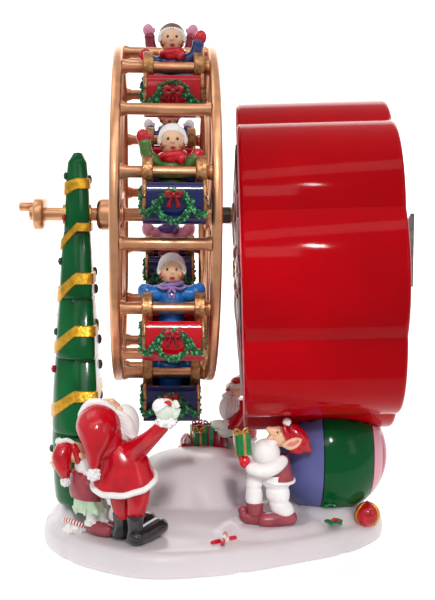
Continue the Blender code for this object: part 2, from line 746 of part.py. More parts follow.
def housing_shell():
    outer = upright_plate([flower_outline(LOBE_CREST, LOBE_CUSP)], HOUSING_LEFT_X, HOUSING_RIGHT_X)
    bevel(outer, 1.6 * MM, segments=1, angle_deg=60)
    inner = upright_plate(
        [flower_outline(LOBE_CREST - HOUSING_WALL, LOBE_CUSP - HOUSING_WALL)],
        HOUSING_LEFT_X + HOUSING_WALL,
        HOUSING_RIGHT_X + 5.0 * MM,
    )
    cut(outer, inner)
    posts = [
        axle_rod(HOUSING_LEFT_X + HOUSING_WALL / 2, COVER_X - GAP, COVER_POST_RADIUS, y, z, sides=12)
        for y, z in cover_screw_places()
    ]
    fuse([outer] + posts)
    holes = [
        axle_rod(COVER_X - COVER_SCREW_LENGTH, COVER_X, COVER_SCREW_RADIUS + GAP, y, z, sides=10)
        for y, z in cover_screw_places()
    ]
    return cut(tilt(cut(outer, *holes)), bushing_bore())


def bushing_bore():
    """The cutter for the housing's bushing, true to the axle."""
    start_x = HOUSING_LEFT_X - 2 * FLOWER_HEIGHT
    end_x = HOUSING_LEFT_X + 2 * HOUSING_WALL
    return axle_rod(start_x, end_x, AXLE_BORE + BUSHING_WALL + GAP, z=AXLE_Z, sides=20)


def housing_cover():
    inset = HOUSING_WALL + GAP
    barrel = train_places()[0]
    holes = [circle(COVER_SCREW_RADIUS + GAP, 10, place) for place in cover_screw_places()]
    outline = flower_outline(LOBE_CREST - inset, LOBE_CUSP - inset)
    cover = tilt(upright_plate([outline] + holes, COVER_X, COVER_X + COVER_THICKNESS))
    arbor_hole = axle_rod(PLATE_X, KEY_WING_X, ARBOR_RADIUS + GAP, *barrel, sides=12)
    return cut(cover, arbor_hole)


def cover_screw(place):
    y, z = place
    outer_x = COVER_X + COVER_THICKNESS
    head = axle_rod(outer_x + GAP, outer_x + 2.0 * MM, COVER_SCREW_HEAD_RADIUS, y, z, sides=12)
    shank = axle_rod(
        COVER_X - COVER_SCREW_LENGTH + 2.0 * MM, outer_x + 1.0 * MM, COVER_SCREW_RADIUS, y, z, sides=8
    )
    return tilt(fuse([head, shank]))


def petal_layer(radius, first_deg, x_start, x_end):
    """A flat ring of pointed petals in (Y, Z) about the housing's centre."""
    shares = [(0.0, 0.48), (0.25, 0.72), (0.42, 0.93), (0.5, 1.0), (0.58, 0.93), (0.75, 0.72)]
    step = 2 * math.pi / FLOWER_PETALS
    outline = []
    for petal in range(FLOWER_PETALS):
        for share, reach in shares:
            angle = math.radians(first_deg) + (petal + share - 0.5) * step
            outline.append((radius * reach * math.cos(angle), HOUSING_Z + radius * reach * math.sin(angle)))
    return upright_plate([outline], x_start, x_end)


def flower_relief():
    """A raised flower on the housing's left face: two layers of petals round a low boss."""
    face_x = HOUSING_LEFT_X - GAP
    leaves = petal_layer(FLOWER_RADIUS, 90, face_x - 0.45 * FLOWER_HEIGHT, face_x)
    petals = petal_layer(0.78 * FLOWER_RADIUS, 112.5, face_x - 0.75 * FLOWER_HEIGHT, face_x - 0.1 * MM)
    boss_x = face_x - 0.2 * FLOWER_HEIGHT
    boss = axle_rod(face_x - FLOWER_HEIGHT, boss_x, 14.0 * MM, z=HOUSING_Z + 18.0 * MM, sides=24)
    flower = tilt(fuse([leaves, petals, boss]))
    return cut(flower, bushing_bore())


def bushing(x_start, x_end):
    return upright_plate(
        [circle(AXLE_BORE + BUSHING_WALL, 20), circle(AXLE_BORE, 16)], x_start, x_end
    )


# Tree


def tapered_block(low, high):
    """A block between two rectangles; each is (z, half width along Y, thickness along X)."""
    bm = bmesh.new()
    bmesh.ops.create_cube(bm, size=1.0)
    for vert in bm.verts:
        z, half_width, thickness = high if vert.co.z > 0 else low
        vert.co = (vert.co.x * thickness, vert.co.y * 2 * half_width, z)
    return solid_from(bm, Matrix.Translation((TREE_X, 0.0, 0.0)))


def tree_post():
    solids = []
    top = (TREE_TOP_Z, TREE_TOP_HALF_WIDTH, TREE_TOP_THICKNESS)
    tiers = zip(TREE_TIER_BOTTOMS, TREE_TIER_HALF_WIDTHS, TREE_TIER_THICKNESSES)
    for bottom_z, half_width, thickness in tiers:
        tier = tapered_block((bottom_z, half_width, thickness), top)
        solids.append(bevel(tier, 1.8 * MM, segments=2, angle_deg=20))
        top = (bottom_z + 6.0 * MM, TREE_STEP_IN * half_width, 0.86 * thickness)
    trunk_top = TREE_TIER_BOTTOMS[-1] + 4.0 * MM
    solids.append(
        block((*TRUNK_SIZE, trunk_top - TRUNK_BOTTOM_Z), (TREE_X, 0.0, (trunk_top + TRUNK_BOTTOM_Z) / 2))
    )
    hole = axle_rod(
        TREE_X - 30 * MM, TREE_X + 30 * MM, AXLE_BORE + BUSHING_WALL + GAP, z=AXLE_Z, sides=20
    )
    return cut(fuse(solids), hole)


# Base and pedestal


def smooth_loop(points, steps):
    """A closed Catmull-Rom curve through the points."""
    count = len(points)
    smooth = []
    for i in range(count):
        before, start, end, after = (Vector(points[(i + k) % count]) for k in (-1, 0, 1, 2))
        for step in range(steps):
            t = step / steps
            smooth.append(
                0.5
                * (
                    2 * start
                    + (end - before) * t
                    + (2 * before - 5 * start + 4 * end - after) * t**2
                    + (3 * start - before - 3 * end + after) * t**3
                )
            )
    return [tuple(point) for point in smooth]


def base_outline(inset=0.0):
    front = [(x * OUTLINE_UNIT, y * OUTLINE_UNIT) for x, y in BASE_FRONT_OUTLINE]
    back = [(x, -y) for x, y in reversed(front[1:-1])]
    outline = smooth_loop(front + back, steps=3)
    middle = Vector((sum(p[0] for p in front) / len(front), 0.0))
    shrunk = []
    for point in outline:
        out = Vector(point) - middle
        shrunk.append(tuple(middle + out * (1 - inset / out.length)))
    return shrunk


def snow_base():
    slab = plate([base_outline()], BASE_THICKNESS)
    slab.data.transform(Matrix.Translation((0.0, 0.0, BASE_THICKNESS / 2)))
    top_round = slab.modifiers.new("bevel", "BEVEL")
    top_round.width = BASE_EDGE_ROUND
    top_round.segments = 2
    top_round.limit_method = "ANGLE"
    top_round.angle_limit = math.radians(60)
    bake(slab)
    banks = [
        (RIDGE_RADII, RIDGE_PLACE),
        (BACK_BANK_RADII, BACK_BANK_PLACE),
        (TREE_BANK_RADII, (TREE_X, 0.0)),
        (BALL_BANK_RADII, (BALL_CENTRE[0], 0.0)),
        (ELF_BANK_RADII, ELF_RIGHT_PLACE),
    ]
    mounds = [ball(radii, (*place, BASE_THICKNESS / 2), sides=14, rings=8) for radii, place in banks]
    snow = fuse([slab] + mounds)
    below_table = block((600 * MM, 600 * MM, 40 * MM), (0.0, 0.0, -20 * MM))
    pocket_depth = PAD_THICKNESS + GAP
    pad_pocket = plate([base_outline(PAD_INSET - GAP)], 2 * pocket_depth)
    shelf = block((*SHELF_SIZE, 40 * MM), (*SHELF_PLACE, SHELF_Z + 20 * MM))
    elf_ground = block((*ELF_GROUND_SIZE, 40 * MM), (*ELF_RIGHT_PLACE, ELF_GROUND_Z + 20 * MM))
    ball_seat = ball(BALL_RADIUS + GAP, BALL_CENTRE, sides=24, rings=14)
    bauble_seat = ball(BAUBLE_RADIUS + GAP, BAUBLE_CENTRE, sides=14, rings=9)
    trunk_pocket = block(
        (TRUNK_SIZE[0] + 2 * GAP, TRUNK_SIZE[1] + 2 * GAP, 40 * MM),
        (TREE_X, 0.0, TRUNK_BOTTOM_Z - GAP + 20 * MM),
    )
    return cut(snow, below_table, pad_pocket, shelf, elf_ground, ball_seat, bauble_seat, trunk_pocket)


def base_pad():
    pad = plate([base_outline(PAD_INSET)], PAD_THICKNESS)
    pad.data.transform(Matrix.Translation((0.0, 0.0, PAD_THICKNESS / 2)))
    return pad


def ball_pedestal():
    """A striped ball that carries the housing, hollowed to fit under it."""
    body = ball(BALL_RADIUS, BALL_CENTRE, sides=24, rings=14)
    seat = upright_plate(
        [flower_outline(LOBE_CREST + GAP, LOBE_CUSP + GAP)], HOUSING_LEFT_X - 20 * MM, HOUSING_RIGHT_X + 20 * MM
    )
    return cut(body, tilt(seat))


# Figures


def figure(solids, place, ground, lift=GAP):
    """Fuses solids drawn about a figure's own feet and stands it on the ground."""
    body = fuse(solids)
    body.data.transform(Matrix.Translation((place[0], place[1], ground + lift)))
    return body


def scaled(size):
    return tuple(value * FIGURE_UNIT for value in size)


def figure_ball(radius, centre, sides=12, rings=8):
    radii = scaled(radius) if isinstance(radius, tuple) else radius * FIGURE_UNIT
    return ball(radii, scaled(centre), sides, rings)


def figure_rod(start, end, radius, end_radius=None, sides=12):
    end_radius = radius if end_radius is None else end_radius
    return rod(scaled(start), scaled(end), radius * FIGURE_UNIT, end_radius * FIGURE_UNIT, sides)


def figure_block(size, centre, turn_deg=0.0):
    return block(scaled(size), scaled(centre), turn_deg)


def santa_front():
    """Seen from behind, one arm raised with a sweet in its mitten, head tipped back."""
    solids = [
        figure_block((25, 21, 5), (5.0, 1.0, 2.5), turn_deg=38),
        figure_rod((-1.5, 0, 3), (-1.5, 0, 24), 5.2, 6.0, sides=10),
        figure_rod((6.5, 1, 3), (6.5, 1, 24), 5.2, 6.0, sides=10),
        figure_rod((-1.5, -1, 21), (-6.0, 0, 57), 17.0, 8.5, sides=14),
        figure_ball((15.0, 13.5, 14.5), (-11.5, -1, 64.5), sides=14, rings=10),
        figure_ball(8.5, (-1.5, 0, 62.5), sides=12, rings=8),
        figure_rod((-15.0, -8, 63), (-18.5, -12, 47), 8.5, 3.0, sides=12),
        figure_ball(3.4, (-19.0, -12.5, 44.5), sides=10, rings=6),
        figure_rod((2.0, -3, 45), (19.5, -19.5, 66), 5.2, 4.8, sides=10),
        figure_ball((6.0, 5.0, 4.2), (19.5, -20.0, 67.5), sides=10, rings=6),
        figure_ball((6.3, 4.6, 8.0), (18.7, -21.5, 74.5), sides=12, rings=8),
        figure_rod((-10.0, -1, 46), (-14.0, 2, 33), 4.6, 4.0, sides=10),
    ]
    return figure(solids, SANTA_FRONT_PLACE, BASE_THICKNESS)


def elf_left():
    """Half hidden by the tall figure, with a long cap, a tunic over a skirt and soft shoes."""
    solids = [
        figure_block((13, 10, 6), (6.5, -2.5, 3), turn_deg=10),
        figure_rod((2.0, 0, 4), (1.0, 0, 14), 3.2, sides=8),
        figure_rod((7.5, 0, 4), (6.0, 0, 14), 3.2, sides=8),
        figure_rod((1.5, 0, 11), (1.0, 0, 18), 8.6, 7.0, sides=12),
        figure_rod((1.0, 0, 16), (-6.0, 0, 37), 9.0, 5.5, sides=12),
        figure_ball((8.6, 7.6, 9.6), (-9.5, -1, 43), sides=12, rings=8),
        figure_rod((-10.5, -3, 46), (-14.5, -6, 32), 6.0, 2.5, sides=10),
        figure_ball(3.0, (-14.0, -6, 30.5), sides=8, rings=6),
        figure_rod((-4.0, -2, 32), (-0.5, -7, 35), 2.8, sides=8),
    ]
    return figure(solids, ELF_LEFT_PLACE, BASE_THICKNESS)


def elf_right():
    """Leans forward to look up at the wheel and holds out a wrapped gift."""
    solids = [
        figure_block((27, 12, 8), (2.0, -5.0, 4), turn_deg=-15),
        figure_block((12, 24, 8), (-11.0, 5.0, 4), turn_deg=-15),
        figure_rod((-8.0, 1, 5), (-6.0, -3, 24), 5.6, 6.2, sides=10),
        figure_rod((5.0, -4, 5), (4.0, -5, 24), 6.4, 6.8, sides=10),
        figure_rod((0.0, -4, 18), (0.5, -6, 36), 11.0, 7.8, sides=12),
        figure_ball((9.5, 8.0, 8.5), (-5.5, -8, 41), sides=12, rings=8),
        figure_ball((9.0, 8.0, 8.5), (2.0, -9, 48), sides=12, rings=8),
        figure_rod((4.0, -9, 52), (20.5, -10, 42.5), 7.0, 3.2, sides=10),
        figure_ball(2.8, (6.0, -11, 58), sides=8, rings=6),
        figure_rod((5.0, -10, 33), (-12.0, -11, 34), 4.6, 4.2, sides=10),
        figure_ball(4.6, (-17.0, -11, 36.0), sides=8, rings=6),
        figure_block((8.2, 8.0, 13.0), (-18.0, -11.0, 45.5), turn_deg=8),
    ]
    return figure(solids, ELF_RIGHT_PLACE, ELF_GROUND_Z)


def santa_back():
    """Stands behind the snow ridge with both mittens on the sled's load."""
    solids = [
        figure_rod((0, 0, 0), (0, 0, 32), 12.5, 8.5, sides=14),
        figure_ball((9.0, 9.0, 10.5), (0.5, -2, 47.5), sides=12, rings=8),
        figure_ball((8.0, 7.5, 9.0), (-4.0, -4, 39), sides=12, rings=8),
        figure_rod((2.0, 0, 48), (10.0, 2, 34), 7.5, 3.0, sides=10),
        figure_rod((-3.0, -4, 28), (-12.0, -6, 28.5), 4.6, 4.4, sides=10),
        figure_ball(4.4, (-14.0, -6, 29.0), sides=10, rings=6),
    ]
    return figure(solids, SANTA_BACK_PLACE, SHELF_Z)


def gift_sled():
    """A box sled on runners, loaded with two wrapped boxes and a sack."""
    solids = [
        figure_block((23, 12, 11), (-2.0, 0, 9.5)),
        figure_block((24, 2.2, 5), (-2.5, -4.4, 2.5)),
        figure_block((24, 2.2, 5), (-2.5, 4.4, 2.5)),
        figure_block((8, 9, 14), (-1.5, 0.0, 20.5), turn_deg=8),
        figure_block((6, 7, 9), (-8.0, -1.0, 18.0), turn_deg=-8),
        figure_ball((5.0, 4.6, 6.0), (5.0, 0.5, 16.5), sides=10, rings=6),
    ]
    return figure(solids, SLED_PLACE, SHELF_Z)


def build():
    clear_scene()
    parts = bpy.data.collections.new("musical_ferris_wheel")
    bpy.context.scene.collection.children.link(parts)

    gold = material("wheel_gold", (0.60, 0.34, 0.15), 0.28, 0.95)
    steel = material("dark_steel", (0.10, 0.085, 0.07), 0.4, 0.9)
    brass = material("movement_brass", (0.62, 0.44, 0.16), 0.32, 0.95)
    bright_steel = material("movement_steel", (0.55, 0.55, 0.55), 0.3, 0.95)
    key_metal = material("key_metal", (0.35, 0.32, 0.28), 0.35, 0.95)
    red = material("housing_red", (0.42, 0.005, 0.01), 0.12)
    deep_red = material("relief_red", (0.16, 0.004, 0.015), 0.2)
    green = material("tree_green", (0.004, 0.14, 0.05), 0.15)
    snow = material("snow_white", (0.80, 0.77, 0.78), 0.25)
    felt = material("pad_felt", (0.02, 0.07, 0.03), 0.95)
    violet = material("ball_violet", (0.14, 0.15, 0.42), 0.3, 0.3)
    sleigh_red = material("sleigh_red", (0.45, 0.005, 0.015), 0.15)
    sleigh_navy = material("sleigh_navy", (0.012, 0.015, 0.12), 0.15)
    santa_red = material("santa_red", (0.50, 0.01, 0.03), 0.2)
    elf_red = material("elf_red", (0.28, 0.05, 0.06), 0.3)
    elf_white = material("elf_white", (0.80, 0.79, 0.78), 0.25)
    gift_green = material("gift_green", (0.01, 0.16, 0.04), 0.2)

    wheel_centre = (0.0, 0.0, AXLE_Z)
    finish(axle(), "axle", gold, parts, wheel_centre)
    finish(rim(-1), "rim_left", gold, parts, wheel_centre)
    finish(rim(1), "rim_right", gold, parts, wheel_centre)
    finish(hub_boss(), "hub_boss", gold, parts, wheel_centre)
    for i in range(RUNG_COUNT):
        y, z = rung_place(i)
        bar = axle_rod(-RIM_INNER_X + GAP, RIM_INNER_X - GAP, RUNG_RADIUS, y, z, sides=12)
        finish(bar, f"rung_{i + 1:02d}", gold, parts, wheel_centre)
    finish(crank_arm(), "crank_arm", gold, parts, wheel_centre)
    finish(crank_pin(), "crank_handle_pin", gold, parts, wheel_centre)
    finish(crank_screw(), "crank_screw", gold, parts, wheel_centre)
    spacer = upright_plate(
        [circle(SPACER_RADIUS, 20), circle(AXLE_BORE, 16)],
        RIM_OUTER_X + 0.5 * MM + GAP,
        HOUSING_BUSH_X - GAP,
    )
    finish(spacer, "axle_spacer", steel, parts, wheel_centre)

    first = gondola()
    for i in range(0, RUNG_COUNT, 2):
        number = i // 2 + 1
        y, z = rung_place(i)
        paint = sleigh_navy if number % 2 == 0 else sleigh_red
        finish(copy_of(first), f"gondola_{number}", paint, parts, (0.0, y, AXLE_Z + z))
    bpy.data.objects.remove(first, do_unlink=True)

    pinion_phase, barrel_phase, cylinder_phase, wheel_phase, governor_phase = gear_phases()
    barrel, cylinder, governor = train_places()
    pinion = gear(PINION_TEETH, pinion_phase, GEAR_PLANE_X, GEAR_THICKNESS, AXLE_BORE)
    finish(pinion, "axle_pinion", brass, parts, wheel_centre)
    finish(spring_barrel(barrel_phase), "spring_barrel", brass, parts, (0.0, *barrel))
    drum = music_cylinder(cylinder_phase, wheel_phase)
    finish(drum, "music_cylinder", brass, parts, (0.0, *cylinder))
    finish(governor_fly(governor_phase), "governor_fly", bright_steel, parts, (0.0, *governor))
    finish(winding_key(), "winding_key", key_metal, parts, (0.0, *barrel))
    finish(movement_plate(), "movement_plate", bright_steel, parts)
    finish(music_comb(), "music_comb", bright_steel, parts)

    finish(housing_shell(), "housing_shell", red, parts)
    finish(housing_cover(), "housing_cover", red, parts)
    finish(flower_relief(), "housing_flower_relief", deep_red, parts)
    for i, place in enumerate(cover_screw_places()):
        finish(cover_screw(place), f"cover_screw_{i + 1}", bright_steel, parts)
    housing_bush = bushing(HOUSING_BUSH_X, HOUSING_LEFT_X + HOUSING_WALL + 2.0 * MM)
    finish(housing_bush, "housing_bushing", brass, parts, wheel_centre)
    tree_half = TREE_TIER_THICKNESSES[0] / 2
    tree_bush = bushing(TREE_X - tree_half - 0.6 * MM, TREE_X + tree_half + 0.6 * MM)
    finish(tree_bush, "tree_bushing", brass, parts, wheel_centre)
    finish(tree_post(), "tree_post", green, parts)

    finish(snow_base(), "snow_base", snow, parts)
    finish(base_pad(), "base_pad", felt, parts)
    finish(ball_pedestal(), "ball_pedestal", violet, parts)
    finish(ball(BAUBLE_RADIUS, BAUBLE_CENTRE, 14, 9), "small_bauble", santa_red, parts)
    finish(santa_front(), "santa_front", santa_red, parts)
    finish(santa_back(), "santa_back", santa_red, parts)
    finish(elf_left(), "elf_left", elf_red, parts)
    finish(elf_right(), "elf_right", elf_white, parts)
    finish(gift_sled(), "gift_sled", gift_green, parts)


build()
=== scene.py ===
"""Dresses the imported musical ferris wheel: glossy cast resin figures and sleighs, a copper-gold wheel,
a tiered tree, a flower-shaped red housing on a striped ball, and a snow base.

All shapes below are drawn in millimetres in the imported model's frame and scaled once when made.
"""

import math

import bmesh
import bpy
from mathutils import Matrix, Vector, noise


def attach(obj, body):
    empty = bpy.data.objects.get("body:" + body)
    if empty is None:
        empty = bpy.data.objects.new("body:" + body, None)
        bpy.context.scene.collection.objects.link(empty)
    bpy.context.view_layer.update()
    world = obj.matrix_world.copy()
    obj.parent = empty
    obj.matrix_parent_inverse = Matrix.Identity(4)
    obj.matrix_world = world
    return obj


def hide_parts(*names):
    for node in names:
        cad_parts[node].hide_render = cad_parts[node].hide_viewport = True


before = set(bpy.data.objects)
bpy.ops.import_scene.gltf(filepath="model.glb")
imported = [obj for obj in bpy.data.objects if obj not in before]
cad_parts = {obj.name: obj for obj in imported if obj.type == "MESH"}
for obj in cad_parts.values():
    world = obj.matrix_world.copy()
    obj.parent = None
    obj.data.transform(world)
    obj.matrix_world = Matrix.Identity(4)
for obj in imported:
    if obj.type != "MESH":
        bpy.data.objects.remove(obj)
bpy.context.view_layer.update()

MM = 0.001

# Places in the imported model
AXLE_Z = 192.6
RUNG_CIRCLE = 93.9
FIRST_RUNG_DEG = 31.2
RUNG_COUNT = 16
RIM_OUTER = 98.0
RIM_INNER = 88.6
RIM_MID_X = 26.3
RIM_HALF = 2.9
HOUSING_LEFT = 45.7
HOUSING_RIGHT = 133.2
HOUSING_Z = 162.4
HOUSING_TURN_DEG = -3.9
HOUSING_LEAN_DEG = -2.0
HOUSING_WALL = 4.0
LOBE_COUNT = 8
LOBE_CREST = 97.5
LOBE_CUSP = 90.5
BALL_CENTRE = Vector((98.0, -8.0, 51.0))
BALL_RADIUS = 35.5
BAUBLE_CENTRE = BALL_CENTRE + Vector((21.0, -20.0, -32.0)).normalized() * 43.6
BAUBLE_RADIUS = 7.4
WHEEL_CENTRE = (0, 0, AXLE_Z)
CRANK_REACH = (21.0, 4.2)


# Camera, light and floor


def add_camera():
    """The camera that was fitted to the photograph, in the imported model's frame."""
    yaw, pitch, roll = (math.radians(a) for a in (3.07, 4.54, 0.44))
    forward = Vector((math.sin(yaw) * math.cos(pitch), math.cos(yaw) * math.cos(pitch), -math.sin(pitch)))
    right = Vector((math.cos(yaw), -math.sin(yaw), 0.0))
    up = right.cross(forward)
    rolled_right = right * math.cos(roll) + up * math.sin(roll)
    rolled_up = up * math.cos(roll) - right * math.sin(roll)
    data = bpy.data.cameras.new("camera")
    data.sensor_width = 36.0
    data.lens = 68.64
    data.clip_start = 0.01
    made = bpy.data.objects.new("camera", data)
    turn = Matrix((rolled_right, rolled_up, -forward)).transposed().to_4x4()
    made.matrix_world = Matrix.Translation(Vector((-4.7, -681.0, 196.2)) * MM) @ turn
    bpy.context.scene.collection.objects.link(made)
    bpy.context.scene.camera = made


def hang_lamp(data, place, target):
    """Puts a lamp at a place and aims it at a target."""
    made = bpy.data.objects.new(data.name, data)
    made.location = place
    made.rotation_euler = (Vector(target) - Vector(place)).to_track_quat("-Z", "Y").to_euler()
    bpy.context.scene.collection.objects.link(made)


def add_light(name, place, target, size, energy):
    """A soft rectangular lamp."""
    data = bpy.data.lights.new(name, "AREA")
    data.shape = "RECTANGLE"
    data.size, data.size_y = size
    data.energy = energy
    hang_lamp(data, place, target)


def add_spot(name, place, target, spread_deg, energy):
    """A narrow lamp with a soft edge."""
    data = bpy.data.lights.new(name, "SPOT")
    data.energy = energy
    data.spot_size = math.radians(spread_deg)
    data.spot_blend = 1.0
    data.shadow_soft_size = 0.08
    hang_lamp(data, place, target)


def add_stage(name, size, place, turn, shade, glow):
    """A plain flat panel of the studio, matt and of one shade."""
    bpy.ops.mesh.primitive_plane_add(size=1.0, location=place, rotation=turn)
    panel = bpy.context.object
    panel.name = name
    panel.scale = (*size, 1.0)
    matt = bpy.data.materials.new(name)
    matt.use_nodes = True
    shader = matt.node_tree.nodes["Principled BSDF"]
    shader.inputs["Base Color"].default_value = (shade, shade, shade, 1.0)
    shader.inputs["Roughness"].default_value = 0.8
    shader.inputs["Emission Color"].default_value = (1.0, 1.0, 1.0, 1.0)
    shader.inputs["Emission Strength"].default_value = glow
    panel.data.materials.append(matt)
    return panel


SOFT_LIGHTS = [
    # name, place, size and power
    ("key_light", (-0.75, -1.05, 1.0), (0.6, 0.6), 1.2),
    ("front_light", (-0.15, -1.25, 0.8), (0.3, 0.3), 0.9),
    ("fill_light", (1.0, -1.0, 0.5), (0.3, 0.6), 0.7),
    ("front_softbox", (0.3, -0.7, 1.15), (1.8, 0.25), 3.0),
    ("top_light", (-0.6, 0.1, 1.2), (0.6, 0.8), 2.0),
    ("rear_light", (0.2, 1.2, 0.8), (1.2, 0.6), 1.5),
]
LIGHT_TARGET = (0.03, 0.0, 0.15)
WORLD_STRENGTH = 0.62


def add_studio():
    """Soft lights, a spot on the snow, an even white world and four plain panels."""
    for name, place, size, energy in SOFT_LIGHTS:
        add_light(name, place, LIGHT_TARGET, size, energy)
    add_spot("snow_light", (0.04, -0.9, 0.68), (0.02, 0.025, 0.03), 7.5, 62.0)
    world = bpy.data.worlds.new("studio")
    world.use_nodes = True
    background = world.node_tree.nodes["Background"]
    background.inputs["Color"].default_value = (1.0, 1.0, 1.0, 1.0)
    background.inputs["Strength"].default_value = WORLD_STRENGTH
    bpy.context.scene.world = world
    bpy.context.scene.view_settings.view_transform = "Standard"
    upright = (math.pi / 2, 0, 0)
    add_stage("pale_floor", (6.0, 3.13), (0.0, 1.435, -0.0004), (0, 0, 0), 0.97, 0.36)
    add_stage("grey_floor", (6.0, 1.67), (0.0, -0.965, -0.0004), (0, 0, 0), 0.5, 0.0)
    screen = add_stage("grey_screen", (3.4, 2.6), (0.0, -1.8, 1.3), upright, 0.1, 0.42)
    screen.visible_camera = False
    add_stage("pale_wall", (6.0, 3.0), (0.0, 3.0, 1.5), upright, 0.9, 1.0)


# Paints


def linear(colour):
    """Screen colour, from 0 to 255 a channel, to the linear values that shaders take."""
    shares = [c / 255 for c in colour]
    return tuple(s / 12.92 if s <= 0.04045 else ((s + 0.055) / 1.055) ** 2.4 for s in shares)


PAINTS = {}


def paint(
    name,
    colour,
    rough=0.2,
    metal=0.0,
    coat=0.0,
    mottle=0.12,
    mottle_scale=160.0,
    bump=0.0,
    bump_scale=500.0,
    shine=0.4,
):
    """A painted or bare surface whose colour is mottled a little and whose skin may be uneven."""
    made = bpy.data.materials.new(name)
    made.use_nodes = True
    nodes = made.node_tree.nodes
    links = made.node_tree.links
    shader = nodes["Principled BSDF"]
    shader.inputs["Roughness"].default_value = rough
    shader.inputs["Metallic"].default_value = metal
    shader.inputs["Specular IOR Level"].default_value = shine
    shader.inputs["Coat Weight"].default_value = coat
    shader.inputs["Coat Roughness"].default_value = 0.06
    where = nodes.new("ShaderNodeTexCoord")
    cloud = nodes.new("ShaderNodeTexNoise")
    cloud.inputs["Scale"].default_value = mottle_scale
    cloud.inputs["Detail"].default_value = 3.0
    ramp = nodes.new("ShaderNodeValToRGB")
    base = linear(colour)
    ramp.color_ramp.elements[0].position = 0.3
    ramp.color_ramp.elements[1].position = 0.7
    ramp.color_ramp.elements[0].color = (*(c * (1 - mottle) for c in base), 1.0)
    ramp.color_ramp.elements[1].color = (*(min(1.0, c * (1 + mottle)) for c in base), 1.0)
    links.new(where.outputs["Object"], cloud.inputs["Vector"])
    links.new(cloud.outputs["Fac"], ramp.inputs["Fac"])
    links.new(ramp.outputs["Color"], shader.inputs["Base Color"])
    if bump:
        grain = nodes.new("ShaderNodeTexNoise")
        grain.inputs["Scale"].default_value = bump_scale
        grain.inputs["Detail"].default_value = 4.0
        relief = nodes.new("ShaderNodeBump")
        relief.inputs["Strength"].default_value = bump
        relief.inputs["Distance"].default_value = 0.0006
        links.new(where.outputs["Object"], grain.inputs["Vector"])
        links.new(grain.outputs["Fac"], relief.inputs["Height"])
        links.new(relief.outputs["Normal"], shader.inputs["Normal"])
    PAINTS[name] = made


